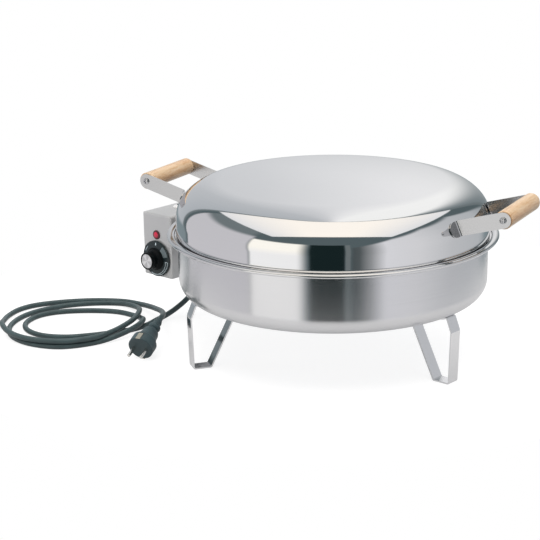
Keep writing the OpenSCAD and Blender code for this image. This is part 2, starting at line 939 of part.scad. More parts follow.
module lamp_bezel() {
    color([0.18, 0.05, 0.06])
        front_at(dial_px, lamp_pz)
            rotate_extrude($fn = round_fn)
                polygon(concat(
                    [[lamp_barrel_d / 2 - 1, -8], [lamp_barrel_d / 2, -8], [lamp_barrel_d / 2, 0],
                        [lamp_d / 2, 0]],
                    arc([lamp_d / 2 - 1.4, 0.4], 1.4, 1.4, 0, 90, 4),
                    [[lamp_barrel_d / 2 - 1, 1.8]]
                ));
}

module lamp_lens() {
    lens_r = lamp_barrel_d / 2 - 1 - run_gap;
    color(lamp_red)
        front_at(dial_px, lamp_pz)
            rotate_extrude($fn = round_fn)
                polygon(concat([[0, -2], [lens_r, -2], [lens_r, 1.6]], arc([0, 1.6], lens_r, 1.4, 5, 90, 6)));
}

module lamp_body() {
    body_r = lamp_barrel_d / 2 - 1 - run_gap;
    color(cream)
        front_at(dial_px, lamp_pz) {
            translate([0, 0, -22])
                cylinder(r = body_r, h = 20, $fn = small_fn);
            for (side = [-1, 1])
                translate([side * 2.5 - 0.4, -1.5, -30])
                    cube([0.8, 3, 8.5]);
        }
}

// ---------- over-heat cut-out with reset button ----------

cutout_d = 20;
cutout_h = 16;
bezel_h = 3;
button_up = 1.2;
button_l = 13;

module safety_cutout() {
    color(black)
        translate([reset_px, reset_py, box_top])
            difference() {
                union() {
                    translate([0, 0, -sheet - cutout_h])
                        cylinder(d = cutout_d, h = cutout_h, $fn = 64);
                    translate([0, 0, -sheet - cut])
                        cylinder(d = reset_neck_d, h = sheet + cut + 0.6, $fn = small_fn);
                    for (side = [-1, 1])
                        translate([side * 5 - 0.4, -3, -sheet - cutout_h - 8])
                            cube([0.8, 6, 9]);
                }
                translate([0, 0, bezel_h + button_up - button_l - reset_travel - loose_gap])
                    cylinder(d = reset_d + 2 * run_gap, h = button_l + reset_travel, $fn = small_fn);
            }
}

module reset_bezel() {
    // Domed round nut over the cut-out's neck
    color(steel)
        translate([reset_px, reset_py, box_top])
            difference() {
                rotate_extrude($fn = round_fn)
                    polygon(concat(
                        [[0, 0], [reset_bezel_d / 2, 0]],
                        arc([0, 0.8], reset_bezel_d / 2, bezel_h - 0.8, 0, 90, 7)
                    ));
                translate([0, 0, -cut])
                    cylinder(d = reset_neck_d + 2 * run_gap, h = 0.6 + run_gap + cut, $fn = small_fn);
                translate([0, 0, -cut])
                    cylinder(d = reset_d + 2 * run_gap, h = bezel_h + 2 * cut, $fn = small_fn);
            }
}

module reset_button() {
    color(black)
        translate([reset_px, reset_py, box_top + bezel_h + button_up - button_l])
            rotate_extrude($fn = round_fn)
                polygon(concat(
                    [[0, 0], [reset_d / 2, 0]],
                    arc([reset_d / 2 - 0.5, button_l - 0.5], 0.5, 0.5, 0, 90, 3),
                    [[0, button_l]]
                ));
}

// ---------- terminal block ----------

block_x = 30;
block_y = 17;
block_h = 18;
block_back = 38;

module terminal_block() {
    // Three-way block on the box base, behind the cord's entry
    pitch = block_x / 3;
    color(cream)
        translate([box_left + 15, box_front + block_back, box_low + sheet])
            difference() {
                cube([block_x, block_y, block_h]);
                for (i = [0:2]) {
                    translate([pitch * (i + 0.5), -cut, block_h * 0.4])
                        rotate([-90, 0, 0])
                            cylinder(d = 4, h = block_y + 2 * cut, $fn = small_fn);
                    translate([pitch * (i + 0.5), block_y / 2, block_h * 0.4])
                        cylinder(d = 5, h = block_h, $fn = small_fn);
                }
            }
}

// ---------- heating element ----------

// Angles at which the two terminal legs' bends touch the turns
leg_out_angle = asin((terminal_pitch / 2 + turn_bend_r) / (turn_out_r + turn_bend_r));
leg_in_angle = asin((turn_bend_r - terminal_pitch / 2) / (turn_in_r + turn_bend_r));
u_bend_r = (turn_out_r - turn_in_r) / 2;
u_mid_r = (turn_out_r + turn_in_r) / 2;
u_angle = asin((terminal_pitch / 2 + tube_d + u_bend_r + 4) / u_mid_r);
element_end = pan_r + 12;
cold_pin_d = 4;

module tube_arc(r, from, sweep, d = tube_d) {
    rotate([0, 0, from])
        rotate_extrude(angle = sweep, $fn = round_fn)
            translate([r, 0])
                circle(d = d, $fn = small_fn);
}

module heating_element() {
    out_c = (turn_out_r + turn_bend_r) * [-cos(leg_out_angle), sin(leg_out_angle)];
    in_c = (turn_in_r + turn_bend_r) * [-cos(leg_in_angle), sin(leg_in_angle)];
    color(zinc)
        translate([0, 0, element_z])
            union() {
                tube_arc(turn_out_r, u_angle - 180, 360 - leg_out_angle - u_angle);
                tube_arc(turn_in_r, u_angle - 180, 360 - leg_in_angle - u_angle);
                rotate([0, 0, u_angle - 180])
                    translate([u_mid_r, 0, 0])
                        tube_arc(u_bend_r, 180, 180);
                translate(out_c)
                    tube_arc(turn_bend_r, -90, 90 - leg_out_angle);
                translate(in_c)
                    tube_arc(turn_bend_r, -90, 90 - leg_in_angle);
                rod(tube_d, [-element_end, terminal_pitch / 2, 0], [out_c[0], terminal_pitch / 2, 0]);
                rod(tube_d, [-element_end, -terminal_pitch / 2, 0], [in_c[0], -terminal_pitch / 2, 0]);
            }
}

module element_pins() {
    // Cold pins that carry the leads inside the neck
    color(zinc)
        for (side = [-1, 1])
            rod(cold_pin_d, [-element_end - 14, side * terminal_pitch / 2, element_z],
                [-element_end, side * terminal_pitch / 2, element_z]);
}

module element_glands() {
    // Hexagon gland rings clamped on the tube outside the pan's wall
    gland_d = tube_d + 6;
    gland_h = 6;
    color([0.75, 0.62, 0.35])
        for (side = [-1, 1])
            translate([-pan_r - gland_h, side * terminal_pitch / 2, element_z])
                rotate([0, 90, 0])
                    difference() {
                        cylinder(d = gland_d, h = gland_h, $fn = 6);
                        translate([0, 0, -cut])
                            cylinder(d = tube_d + 2 * run_gap, h = gland_h + 2 * cut, $fn = small_fn);
                    }
}

bracket_angles = [60, 180 + 55, 300];

module element_brackets() {
    // Bridges that carry both turns, standing on the reflector dish
    top = element_z - tube_d / 2;
    low = dish_z + dish_t;
    r0 = turn_in_r - 9;
    r1 = turn_out_r + 9;
    foot = 8;
    color(zinc)
        around(bracket_angles)
            rotate([90, 0, 0])
                linear_extrude(bracket_w, center = true)
                    polygon([
                        [r0 - foot, low], [r0 + bracket_t, low], [r0 + bracket_t, top - bracket_t],
                        [r1 - bracket_t, top - bracket_t], [r1 - bracket_t, low + bracket_t],
                        [r1 - foot, low + bracket_t], [r1 - foot, low], [r1, low], [r1, top],
                        [r0, top], [r0, low + bracket_t], [r0 - foot, low + bracket_t]
                    ]);
}

module element_clips() {
    // Saddles that hold each turn down on its bridge
    in_r = tube_d / 2 + run_gap;
    out_r = in_r + bracket_t / 2;
    clip_l = 6;
    foot = 3;
    color(zinc)
        around(bracket_angles)
            for (r = [turn_in_r, turn_out_r])
                translate([r, 0, element_z])
                    rotate([90, 0, 0])
                        linear_extrude(clip_l, center = true)
                            difference() {
                                union() {
                                    circle(r = out_r, $fn = small_fn);
                                    translate([-out_r, -tube_d / 2])
                                        square([2 * out_r, tube_d / 2]);
                                    translate([-out_r - foot, -tube_d / 2])
                                        square([2 * (out_r + foot), bracket_t / 2]);
                                }
                                circle(r = in_r, $fn = small_fn);
                                translate([-in_r, -tube_d])
                                    square([2 * in_r, tube_d]);
                            }
}

module reflector_dish() {
    // Shallow bright dish on the leg screws' heads, with a rolled-over edge
    slope_r = dish_r - dish_h * 1.4;
    color(steel)
        rotate_extrude($fn = round_fn)
            polygon([
                [0, dish_z], [slope_r, dish_z], [dish_r, dish_z + dish_h],
                [dish_r + dish_lip, dish_z + dish_h], [dish_r + dish_lip, dish_z + dish_h + dish_t],
                [dish_r - 0.4, dish_z + dish_h + dish_t],
                [slope_r - 0.4, dish_z + dish_t], [0, dish_z + dish_t]
            ]);
}

// ---------- grill grate ----------

seat_angles = [30, 150, 270];

module grate_seats() {
    // Angle brackets spot-welded to the pan's wall
    seat_sweep = 4;
    seat_in = grate_play + 1.5 * ring_wire_d;
    seat_h = 12;
    color(steel)
        around(seat_angles)
            rotate([0, 0, -seat_sweep / 2])
                rotate_extrude(angle = seat_sweep, $fn = round_fn)
                    polygon([
                        [wall_in_r, grate_seat_z - seat_h], [wall_in_r, grate_seat_z],
                        [wall_in_r - seat_in, grate_seat_z], [wall_in_r - seat_in, grate_seat_z - bracket_t],
                        [wall_in_r - bracket_t, grate_seat_z - bracket_t],
                        [wall_in_r - bracket_t, grate_seat_z - seat_h]
                    ]);
}

module grill_grate() {
    count = floor((grate_r - bar_pitch / 2) / bar_pitch);
    half_tie = sqrt(grate_r * grate_r - tie_y * tie_y);
    bar_over = bar_wire_d * 0.3;
    color(steel)
        union() {
            translate([0, 0, ring_z])
                rotate_extrude($fn = round_fn)
                    translate([grate_r, 0])
                        circle(d = ring_wire_d, $fn = wire_fn);
            for (y = [-tie_y, tie_y])
                rod(ring_wire_d, [-half_tie, y, ring_z], [half_tie, y, ring_z], wire_fn);
            for (i = [-count:count])
                let (x = i * bar_pitch, half = sqrt(grate_r * grate_r - x * x) + bar_over)
                rod(bar_wire_d, [x, -half, bars_z], [x, half, bars_z], wire_fn);
        }
}

// ---------- strain relief, cord and plug ----------

module strain_relief() {
    // Moulded rubber grommet and tapered sleeve, grooved so that it bends
    top = box_low + sheet - cord_exit[2];
    collar = box_low - cord_exit[2];
    grooves = 4;
    step = (collar - 5) / grooves;
    groove_deep = 0.7;
    sleeve_r = cord_d / 2 + 1;
    taper = 1.6;
    color(rubber)
        translate(cord_exit)
            rotate_extrude($fn = round_fn)
                polygon(concat(
                    [[0, 0]],
                    [for (i = [0:grooves - 1])
                        for (p = [[0, 0], [0, 0.6], [groove_deep, 0.7], [groove_deep, 0.95]])
                            [sleeve_r + taper * (i + p[1]) / grooves - p[0], (i + p[1]) * step]],
                    [
                        [relief_neck_d / 2, collar - 4], [relief_collar_d / 2, collar - 3],
                        [relief_collar_d / 2, collar], [relief_neck_d / 2, collar],
                        [relief_neck_d / 2, top], [relief_collar_d / 2, top],
                        [relief_collar_d / 2, top + 3], [0, top + 3]
                    ]
                ));
}

plug_end = [-200, -148, 40];
plug_turn = -71;
plug_dip = 20.5;
plug_dir = [cos(plug_turn) * cos(plug_dip), sin(plug_turn) * cos(plug_dip), -sin(plug_dip)];

// Middle line of the cord from the strain relief to the plug, in three loose loops
cord_route = [
    cord_exit, [-277, 13, 41], [-277.5, 9, 28], [-279, 0, 17], [-281.5, -14, 9], [-284, -32, 5],
    [-285.5, -50, 4.3], [-285, -70, 4.2], [-279, -97, 4.2], [-280, -125, 4.2], [-292, -155, 4.2],
    [-308, -185, 4.2], [-330, -213, 4.2], [-362, -230, 4.2], [-398, -228, 4.2], [-426, -208, 4.2],
    [-439, -174, 4.2], [-430, -140, 4.2], [-400, -106, 4.2], [-362, -82, 4.2], [-324, -79, 4.6],
    [-303, -86, 7], [-282, -102, 13], [-268, -126, 13.5], [-267, -160, 9], [-277, -200, 4.5],
    [-302, -245, 4.2], [-345, -265, 4.2], [-390, -262, 4.2], [-428, -238, 4.2], [-452, -200, 4.2],
    [-458, -160, 4.2], [-447, -114, 4.2], [-423, -77, 4.2], [-387, -50, 4.6], [-346, -56, 9],
    [-313, -80, 15.5], [-294, -112, 14.5], [-285, -145, 13.5], [-290, -185, 8], [-312, -224, 5],
    [-345, -244, 6], [-375, -254, 11], [-403, -258, 13.5], [-430, -247, 13], [-456, -226, 7],
    [-476, -200, 4.4], [-487, -170, 4.2], [-484, -138, 4.2], [-462, -100, 4.5], [-430, -64, 4.5],
    [-392, -40, 4.8], [-352, -40, 8], [-315, -54, 16], [-284, -70, 25], [-252, -92, 35],
    [-222, -118, 42], plug_end
];
cord_rings = 80;
cord_sides = 10;
cord_first = cord_route[1] + [0, 0, 26];
cord_last = cord_route[len(cord_route) - 2] + 70 * plug_dir;

function route_point(i) = i < 0 ? cord_first : i >= len(cord_route) ? cord_last : cord_route[i];

// Position and direction on the smooth curve through the route's points
function curve_at(u) =
    let (
        i = min(floor(u), len(cord_route) - 2), t = u - i,
        a = route_point(i - 1), b = route_point(i), c = route_point(i + 1), d = route_point(i + 2)
    )
    (2 * b + (c - a) * t + (2 * a - 5 * b + 4 * c - d) * t * t + (3 * b - a - 3 * c + d) * t * t * t) / 2;
function heading_at(u) =
    let (
        i = min(floor(u), len(cord_route) - 2), t = u - i,
        a = route_point(i - 1), b = route_point(i), c = route_point(i + 1), d = route_point(i + 2)
    )
    unit((c - a) + 2 * (2 * a - 5 * b + 4 * c - d) * t + 3 * (3 * b - a - 3 * c + d) * t * t);

// Ring of points square to the curve
function cord_ring(u) =
    let (
        p = curve_at(u), h = heading_at(u),
        side = norm([h[0], h[1]]) < 0.01 ? [-1, 0, 0] : unit([h[1], -h[0], 0]),
        up = cross(side, h)
    )
    [for (k = [0:cord_sides - 1])
        p + cord_d / 2 * (cos(360 * k / cord_sides) * side + sin(360 * k / cord_sides) * up)];

module mains_cord() {
    last = len(cord_route) - 1;
    n = cord_sides;
    color(rubber)
        polyhedron(
            points = [for (i = [0:cord_rings - 1]) each cord_ring(last * i / (cord_rings - 1))],
            faces = concat(
                [[for (k = [0:n - 1]) k]],
                [for (i = [0:cord_rings - 2])
                    for (k = [0:n - 1])
                        [i * n + k, (i + 1) * n + k, (i + 1) * n + (k + 1) % n, i * n + (k + 1) % n]],
                [[for (k = [n - 1:-1:0]) (cord_rings - 1) * n + k]]
            )
        );
}

module at_plug() {
    // Children's +Z runs from the cord end to the plug's face, +Y is level
    translate(plug_end)
        rotate([0, 90 + plug_dip, plug_turn])
            children();
}

rim_l = 15;
clip_w = 7;
clip_t = 0.8;
clip_h = 12;
pin_root_d = 4;
pin_root_l = 8;

module plug_body() {
    face_r = plug_d / 2;
    grip_r = 12;
    head = plug_l - rim_l;
    color(rubber)
        at_plug()
            difference() {
                rotate_extrude($fn = round_fn)
                    polygon(concat(
                        [[0, 0], [cord_d / 2 + 0.8, 0]],
                        arc([cord_d / 2 + 0.8, 5.5], 1.4, 3.5, -60, 60, 4),
                        arc([cord_d / 2 + 0.8, 16], 4.2, 5, -75, 75, 6),
                        [
                            [6.5, 22.5], [grip_r - 1, 27], [grip_r, 30], [grip_r + 0.5, 36],
                            [face_r - 3.5, head - 4], [face_r, head], [face_r, plug_l - 1],
                            [face_r - 1, plug_l], [0, plug_l]
                        ]
                    ));
                for (side = [-1, 1])
                    translate([side * (face_r - clip_t / 2) - clip_t, -clip_w / 2 - 0.5, plug_l - clip_h - 1])
                        cube([2 * clip_t, clip_w + 1, clip_h + 1 + cut]);
                for (side = [-1, 1])
                    translate([0, side * pin_pitch / 2, plug_l - pin_root_l - loose_gap])
                        cylinder(d = pin_root_d + 2 * run_gap, h = pin_root_l + cut, $fn = small_fn);
            }
}

module plug_pins() {
    tip = 1.2;
    color(steel)
        at_plug()
            for (side = [-1, 1])
                translate([0, side * pin_pitch / 2, plug_l])
                    rotate_extrude($fn = small_fn)
                        polygon(concat(
                            [[0, -pin_root_l], [pin_root_d / 2, -pin_root_l], [pin_root_d / 2, 0],
                                [pin_d / 2, 0]],
                            arc([pin_d / 2 - tip, pin_l - tip], tip, tip, 0, 90, 4),
                            [[0, pin_l]]
                        ));
}

module plug_earth_clips() {
    color(cream)
        at_plug()
            for (side = [-1, 1])
                translate([side * (plug_d / 2 - clip_t / 2) - clip_t / 2, -clip_w / 2, plug_l - clip_h])
                    cube([clip_t, clip_w, clip_h]);
}

pan_shell();
lid_shell();
left_handle_straps();
right_handle_straps();
left_handle_bar();
right_handle_bar();
handle_screws();
right_leg();
front_leg();
back_leg();
leg_screws();
leg_nuts();
neck_housing();
neck_rivets();
box_cover();
box_base();
box_screws();
thermostat_body();
thermostat_bulb();
thermostat_nut();
thermostat_shaft();
knob();
knob_skirt();
knob_insert();
lamp_bezel();
lamp_lens();
lamp_body();
safety_cutout();
reset_bezel();
reset_button();
terminal_block();
heating_element();
element_pins();
element_glands();
element_brackets();
element_clips();
reflector_dish();
grate_seats();
grill_grate();
strain_relief();
mains_cord();
plug_body();
plug_pins();
plug_earth_clips();
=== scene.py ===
import math

import bmesh
import bpy
from mathutils import Matrix, Vector


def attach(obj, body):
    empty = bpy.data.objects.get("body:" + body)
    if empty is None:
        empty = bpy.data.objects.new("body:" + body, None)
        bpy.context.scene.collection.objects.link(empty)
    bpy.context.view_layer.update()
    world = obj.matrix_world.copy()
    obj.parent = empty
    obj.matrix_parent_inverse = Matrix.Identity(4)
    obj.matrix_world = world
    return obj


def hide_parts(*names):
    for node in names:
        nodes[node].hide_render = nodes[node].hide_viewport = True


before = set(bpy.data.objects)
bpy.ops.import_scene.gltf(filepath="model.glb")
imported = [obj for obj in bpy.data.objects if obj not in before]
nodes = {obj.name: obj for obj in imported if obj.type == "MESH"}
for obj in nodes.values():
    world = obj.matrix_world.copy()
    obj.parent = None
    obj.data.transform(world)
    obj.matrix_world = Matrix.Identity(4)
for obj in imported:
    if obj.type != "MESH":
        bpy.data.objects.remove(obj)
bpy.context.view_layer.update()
scene = bpy.context.scene


def mm(*p):
    """A vector in metres from millimetres."""
    return Vector([c / 1000 for c in p])


# ---------- camera ----------

SENSOR_MM, LENS_MM = 36, 100.06
CAMERA_AT = mm(1282.1, -1566.9, 708.0)
CAMERA_HEADING = Vector((-0.66618, 0.74579, 0)).normalized()
CAMERA_DIP, CAMERA_ROLL = math.radians(16.202), math.radians(0.714)
UPRIGHT = Vector((0, 0, 1))

cam_data = bpy.data.cameras.new("camera")
cam_data.sensor_width = SENSOR_MM
cam_data.lens = LENS_MM
cam = bpy.data.objects.new("camera", cam_data)
scene.collection.objects.link(cam)
scene.camera = cam
look = CAMERA_HEADING * math.cos(CAMERA_DIP) - UPRIGHT * math.sin(CAMERA_DIP)
right = look.cross(UPRIGHT).normalized()
up = right.cross(look)
rolled = Matrix.Rotation(CAMERA_ROLL, 3, look)
right, up = rolled @ right, rolled @ up
facing = Matrix((right, up, -look)).transposed().to_4x4()
cam.matrix_world = Matrix.Translation(CAMERA_AT) @ facing

# ---------- materials ----------

# Places in metres that the looks share with the solids, and the lid's turn in degrees
DIAL_AT = (-0.275, -0.0747, 0.1038)
LAMP_AT = (-0.275, 0, 0.1398)
RESET_AT = (-0.281, -0.021, 0.171)
LID_TURN = 13.7
# A right angle as a share of a turn, and how far roughness strays from its middle, as a share
QUARTER_TURN = 0.25
ROUGH_SPREAD = 0.15


class Nodes:
    """A node tree and short ways to add nodes to it."""

    def __init__(self, tree):
        self.t = tree

    def node(self, kind, **values):
        n = self.t.nodes.new(kind)
        for key, value in values.items():
            if key.startswith("i_"):
                n.inputs[key[2:].replace("_", " ")].default_value = value
            else:
                setattr(n, key, value)
        return n

    def link(self, a, b):
        self.t.links.new(a, b)

    def feed(self, socket, value):
        """Links an output to a socket, or sets the socket to a constant."""
        if hasattr(value, "is_output"):
            self.link(value, socket)
        else:
            socket.default_value = value

    def math(self, op, a, b=0.0, c=None):
        n = self.node("ShaderNodeMath", operation=op)
        for i, v in enumerate((a, b, c)):
            if v is not None:
                self.feed(n.inputs[i], v)
        return n.outputs[0]

    def blend(self, *parts):
        """Sum of (value, weight) pairs."""
        (value, weight), *rest = parts
        weighted = self.math("MULTIPLY", value, weight)
        return self.math("ADD", weighted, self.blend(*rest)) if rest else weighted

    def combine(self, x, y, z):
        n = self.node("ShaderNodeCombineXYZ")
        for i, v in enumerate((x, y, z)):
            self.feed(n.inputs[i], v)
        return n.outputs[0]

    def noise(self, vector, scale, detail=3.0, rough=0.5):
        n = self.node("ShaderNodeTexNoise", i_Scale=scale, i_Detail=detail, i_Roughness=rough)
        self.link(vector, n.inputs["Vector"])
        return n.outputs["Fac"]

    def span(self, value, lo, hi, from_lo=0.0, from_hi=1.0, smooth=False):
        n = self.node("ShaderNodeMapRange", interpolation_type="SMOOTHSTEP" if smooth else "LINEAR")
        n.inputs["From Min"].default_value = from_lo
        n.inputs["From Max"].default_value = from_hi
        n.inputs["To Min"].default_value = lo
        n.inputs["To Max"].default_value = hi
        self.link(value, n.inputs["Value"])
        return n.outputs["Result"]

    def ramp(self, value, stops):
        n = self.node("ShaderNodeValToRGB")
        e = n.color_ramp.elements
        while len(e) < len(stops):
            e.new(0.5)
        for item, (pos, colour) in zip(e, stops):
            item.position = pos
            item.color = (*colour, 1)
        self.link(value, n.inputs["Fac"])
        return n.outputs["Color"]


class Mat(Nodes):
    """A Principled material. Its constants are given by their sockets' names."""

    def __init__(self, name, **sockets):
        self.mat = bpy.data.materials.new(name)
        self.mat.use_nodes = True
        super().__init__(self.mat.node_tree)
        self.shader = self.t.nodes["Principled BSDF"]
        for key, value in sockets.items():
            self.shader.inputs[key.replace("_", " ")].default_value = value

    def place(self):
        return self.node("ShaderNodeTexCoord").outputs["Object"]

    def mottle(self, value, lo, hi, colour, spread):
        """A little darker than colour where value is lo, a little lighter where it is hi."""
        darker = [c * (1 - spread) for c in colour]
        lighter = [min(1, c * (1 + spread)) for c in colour]
        self.colour(self.ramp(value, [(lo, darker), (hi, lighter)]))

    def bump(self, height, strength, distance):
        n = self.node("ShaderNodeBump", i_Strength=strength, i_Distance=distance)
        self.link(height, n.inputs["Height"])
        self.link(n.outputs["Normal"], self.shader.inputs["Normal"])

    def colour(self, out):
        self.link(out, self.shader.inputs["Base Color"])

    def roughness(self, out):
        self.link(out, self.shader.inputs["Roughness"])

    def rough_about(self, value, rough):
        """Roughness a little under rough where value is 0, a little over it where it is 1."""
        return self.span(value, rough * (1 - ROUGH_SPREAD), rough * (1 + ROUGH_SPREAD))

    def cylinder(self, centre=(0, 0, 0), axis="Z"):
        """Turn, radius and height round an axis through centre, as outputs."""
        shift = self.node("ShaderNodeVectorMath", operation="SUBTRACT")
        self.link(self.place(), shift.inputs[0])
        shift.inputs[1].default_value = centre
        s = self.node("ShaderNodeSeparateXYZ")
        self.link(shift.outputs[0], s.inputs[0])
        x, y, z = (s.outputs[i] for i in {"Z": (0, 1, 2), "Y": (2, 0, 1)}[axis])
        radius = self.math("SQRT", self.blend((x, x), (y, y)))
        return self.math("ARCTAN2", y, x), radius, z

    def spin_highlights(self, axis):
        """Stretches highlights across the turning round an axis."""
        self.shader.inputs["Anisotropic Rotation"].default_value = QUARTER_TURN
        tangent = self.node("ShaderNodeTangent", direction_type="RADIAL", axis=axis)
        self.link(tangent.outputs[0], self.shader.inputs["Tangent"])


def spun(name, colour, rough, aniso, centre=(0, 0, 0), axis="Z", mark=0.04, fine=900, painted_gap_shade=None,
         metallic=1.0):
    """Metal turned or polished round an axis, with faint rings along the turning.

    An optional pair of heights in metres paints shade: the colour darkens from the upper to the
    lower one.
    """
    m = Mat(name, Metallic=metallic, Anisotropic=aniso)
    turned, radius, height = m.cylinder(centre, axis)
    rings = m.noise(m.combine(m.math("MULTIPLY", turned, 1.2), m.math("MULTIPLY", radius, fine),
                              m.math("MULTIPLY", height, fine)), 1.0, 2.0)
    cloud = m.noise(m.place(), 9.0, 4.0)
    m.mottle(m.blend((rings, 0.5), (cloud, 0.5)), 0.25, 0.75, colour, mark)
    # Painted shade: the colour darkens towards the lower of the two heights
    if painted_gap_shade:
        scale = m.node("ShaderNodeVectorMath", operation="SCALE")
        base = m.shader.inputs["Base Color"]
        m.link(base.links[0].from_socket, scale.inputs[0])
        m.link(m.span(height, 0.14, 1, *painted_gap_shade, True), scale.inputs["Scale"])
        m.colour(scale.outputs[0])
    uneven = 0.02 * (rough > 0.1)
    m.roughness(m.math("ADD", m.rough_about(rings, rough), m.span(cloud, -uneven, uneven)))
    m.bump(rings, 0.03, 0.0001)
    if aniso:
        m.spin_highlights(axis)
    return m.mat


def brushed(name, colour, rough, stretch, mark=0.06, strength=0.05, metallic=1.0):
    """Metal sheet brushed along one direction: stretch gives the noise's scale along X, Y and Z."""
    m = Mat(name, Metallic=metallic)
    mapping = m.node("ShaderNodeMapping")
    mapping.inputs["Scale"].default_value = stretch
    m.link(m.place(), mapping.inputs["Vector"])
    streak = m.noise(mapping.outputs[0], 1.0, 4.0, 0.6)
    cloud = m.noise(m.place(), 25.0, 3.0)
    m.mottle(m.blend((streak, 0.6), (cloud, 0.4)), 0.3, 0.7, colour, mark)
    m.roughness(m.rough_about(streak, rough))
    if strength:
        m.bump(streak, strength, 0.0002)
    return m.mat


def plastic(name, colour, rough, grain=1500, strength=0.1, tone=0.15, specular=0.5):
    """Moulded plastic or rubber with a fine grain."""
    m = Mat(name, Specular_IOR_Level=specular)
    cloud = m.noise(m.place(), 60.0, 4.0)
    m.mottle(cloud, 0.3, 0.7, colour, tone)
    m.roughness(m.rough_about(cloud, rough))
    m.bump(m.noise(m.place(), grain, 2.0), strength, 0.0002)
    return m.mat


def beech(name, turned):
    """Lacquered beech whose grain runs along local Y, turned about Z."""
    m = Mat(name, Coat_Weight=0.25, Coat_Roughness=0.25)
    mapping = m.node("ShaderNodeMapping", vector_type="TEXTURE")
    mapping.inputs["Rotation"].default_value = (0, 0, math.radians(turned))
    m.link(m.place(), mapping.inputs["Vector"])

    def drawn_out(along):
        """Place with its Y scaled by along, which stretches a noise along the bar."""
        n = m.node("ShaderNodeVectorMath", operation="MULTIPLY")
        m.link(mapping.outputs[0], n.inputs[0])
        n.inputs[1].default_value = (1, along, 1)
        return n.outputs[0]

    grain_at = drawn_out(0.07)
    bands = m.noise(grain_at, 130.0, 5.0, 0.6)
    fibre = m.noise(grain_at, 900.0, 3.0)
    fleck = m.noise(drawn_out(0.25), 700.0, 2.0)
    mixed = m.blend((bands, 0.62), (fibre, 0.22), (fleck, 0.16))
    m.colour(m.ramp(mixed, [(0.36, (0.47, 0.25, 0.120)), (0.48, (0.61, 0.39, 0.215)),
                            (0.60, (0.71, 0.53, 0.35))]))
    m.roughness(m.span(fibre, 0.30, 0.42))
    m.bump(fibre, 0.12, 0.0002)
    return m.mat


# The lid's lowest edge gets painted shade, for the dark gap between it and the pan's rim
LID = spun("lid_steel", (0.86, 0.86, 0.865), 0.05, 0.0, fine=500, mark=0.015, painted_gap_shade=(0.1776, 0.1790))
RIM = spun("rim_steel", (0.76, 0.76, 0.77), 0.08, 0.0, fine=500, mark=0.02)
PAN = spun("pan_steel", (0.77, 0.77, 0.785), 0.22, 0.93)
DISH = spun("dish_steel", (0.74, 0.74, 0.75), 0.14, 0.3)
SATIN = brushed("satin_steel", (0.66, 0.665, 0.67), 0.32, (8, 8, 160), mark=0.012, strength=0.0,
                metallic=0.5)
STRAP = brushed("strap_steel", (0.59, 0.59, 0.595), 0.22, (15, 200, 200), mark=0.02, strength=0.003)
LEG = brushed("leg_steel", (0.86, 0.86, 0.875), 0.10, (300, 300, 20), mark=0.02, strength=0.004)
ZINC = brushed("zinc_steel", (0.58, 0.585, 0.60), 0.28, (300, 300, 300))
CHROME = spun("dome_chrome", (0.96, 0.96, 0.965), 0.3, 0.0, centre=RESET_AT, mark=0.01,
              metallic=0.1)
WIRE = brushed("wire_steel", (0.78, 0.78, 0.79), 0.12, (200, 200, 200), strength=0.02)
TUBE = brushed("element_tube", (0.20, 0.19, 0.19), 0.42, (120, 120, 500), mark=0.2)
BRASS = brushed("gland_brass", (0.72, 0.52, 0.24), 0.25, (300, 300, 300))
PIN = brushed("pin_nickel", (0.80, 0.79, 0.76), 0.16, (300, 300, 300), strength=0.02)
CLIP = brushed("clip_brass", (0.74, 0.68, 0.55), 0.22, (300, 300, 300), strength=0.02)
BLACK = plastic("black_plastic", (0.012, 0.024, 0.028), 0.22, strength=0.02)
DEEP = plastic("knob_plastic", (0.003, 0.005, 0.006), 0.30, strength=0.02, specular=0.12)
HEATPROOF = plastic("heatproof_black", (0.02, 0.02, 0.022), 0.5)
CREAM = plastic("cream_moulding", (0.70, 0.64, 0.50), 0.5, tone=0.05)
BEZEL = plastic("lamp_bezel", (0.10, 0.018, 0.026), 0.25, strength=0.02)
RUBBER = plastic("plug_rubber", (0.050, 0.083, 0.094), 0.42, grain=1100, strength=0.18)
CORD = plastic("cord_rubber", (0.052, 0.084, 0.090), 0.40, grain=900, strength=0.2)
MARK = plastic("dial_print", (0.62, 0.74, 0.80), 0.4, strength=0.02, tone=0.03)
MARK_GREY = plastic("dial_print_grey", (0.17, 0.215, 0.235), 0.35, strength=0.02, tone=0.03)


def spun_insert():
    """Spun aluminium disc, with a painted sheen of light and grey wedges round its axis."""
    m = Mat("spun_insert", Metallic=0.7, Anisotropic=0.8)
    turned, radius, _ = m.cylinder(DIAL_AT, "Y")
    # Painted sheen: the colour swings between light and grey wedges round the axis
    painted_sheen = m.math("COSINE", m.math("MULTIPLY", m.math("ADD", turned, 0.55), 4.0))
    m.colour(m.ramp(m.span(painted_sheen, 0, 1, -1, 1),
                    [(0.15, (0.70, 0.70, 0.71)), (0.85, (0.97, 0.97, 0.98))]))
    rings = m.noise(m.combine(0.0, m.math("MULTIPLY", radius, 1500), 0.0), 1.0, 2.0)
    m.roughness(m.span(rings, 0.26, 0.34))
    m.spin_highlights("Y")
    return m.mat


SPUN_ALU = spun_insert()
BEECH = beech("beech", LID_TURN)


def lens_material():
    """Red lens with moulded rings, which glows a little."""
    m = Mat("lamp_red", Roughness=0.12, IOR=1.49, Coat_Weight=0.5, Coat_Roughness=0.05)
    _, radius, _ = m.cylinder(LAMP_AT, "Y")
    rings = m.math("SINE", m.math("MULTIPLY", radius, 5200))
    m.colour(m.ramp(m.span(rings, 0, 1, -1, 1),
                    [(0.2, (0.42, 0.004, 0.03)), (0.8, (0.72, 0.015, 0.07))]))
    m.shader.inputs["Emission Color"].default_value = (0.8, 0.02, 0.08, 1)
    m.shader.inputs["Emission Strength"].default_value = 0.12
    m.bump(rings, 0.3, 0.0002)
    return m.mat


LENS = lens_material()

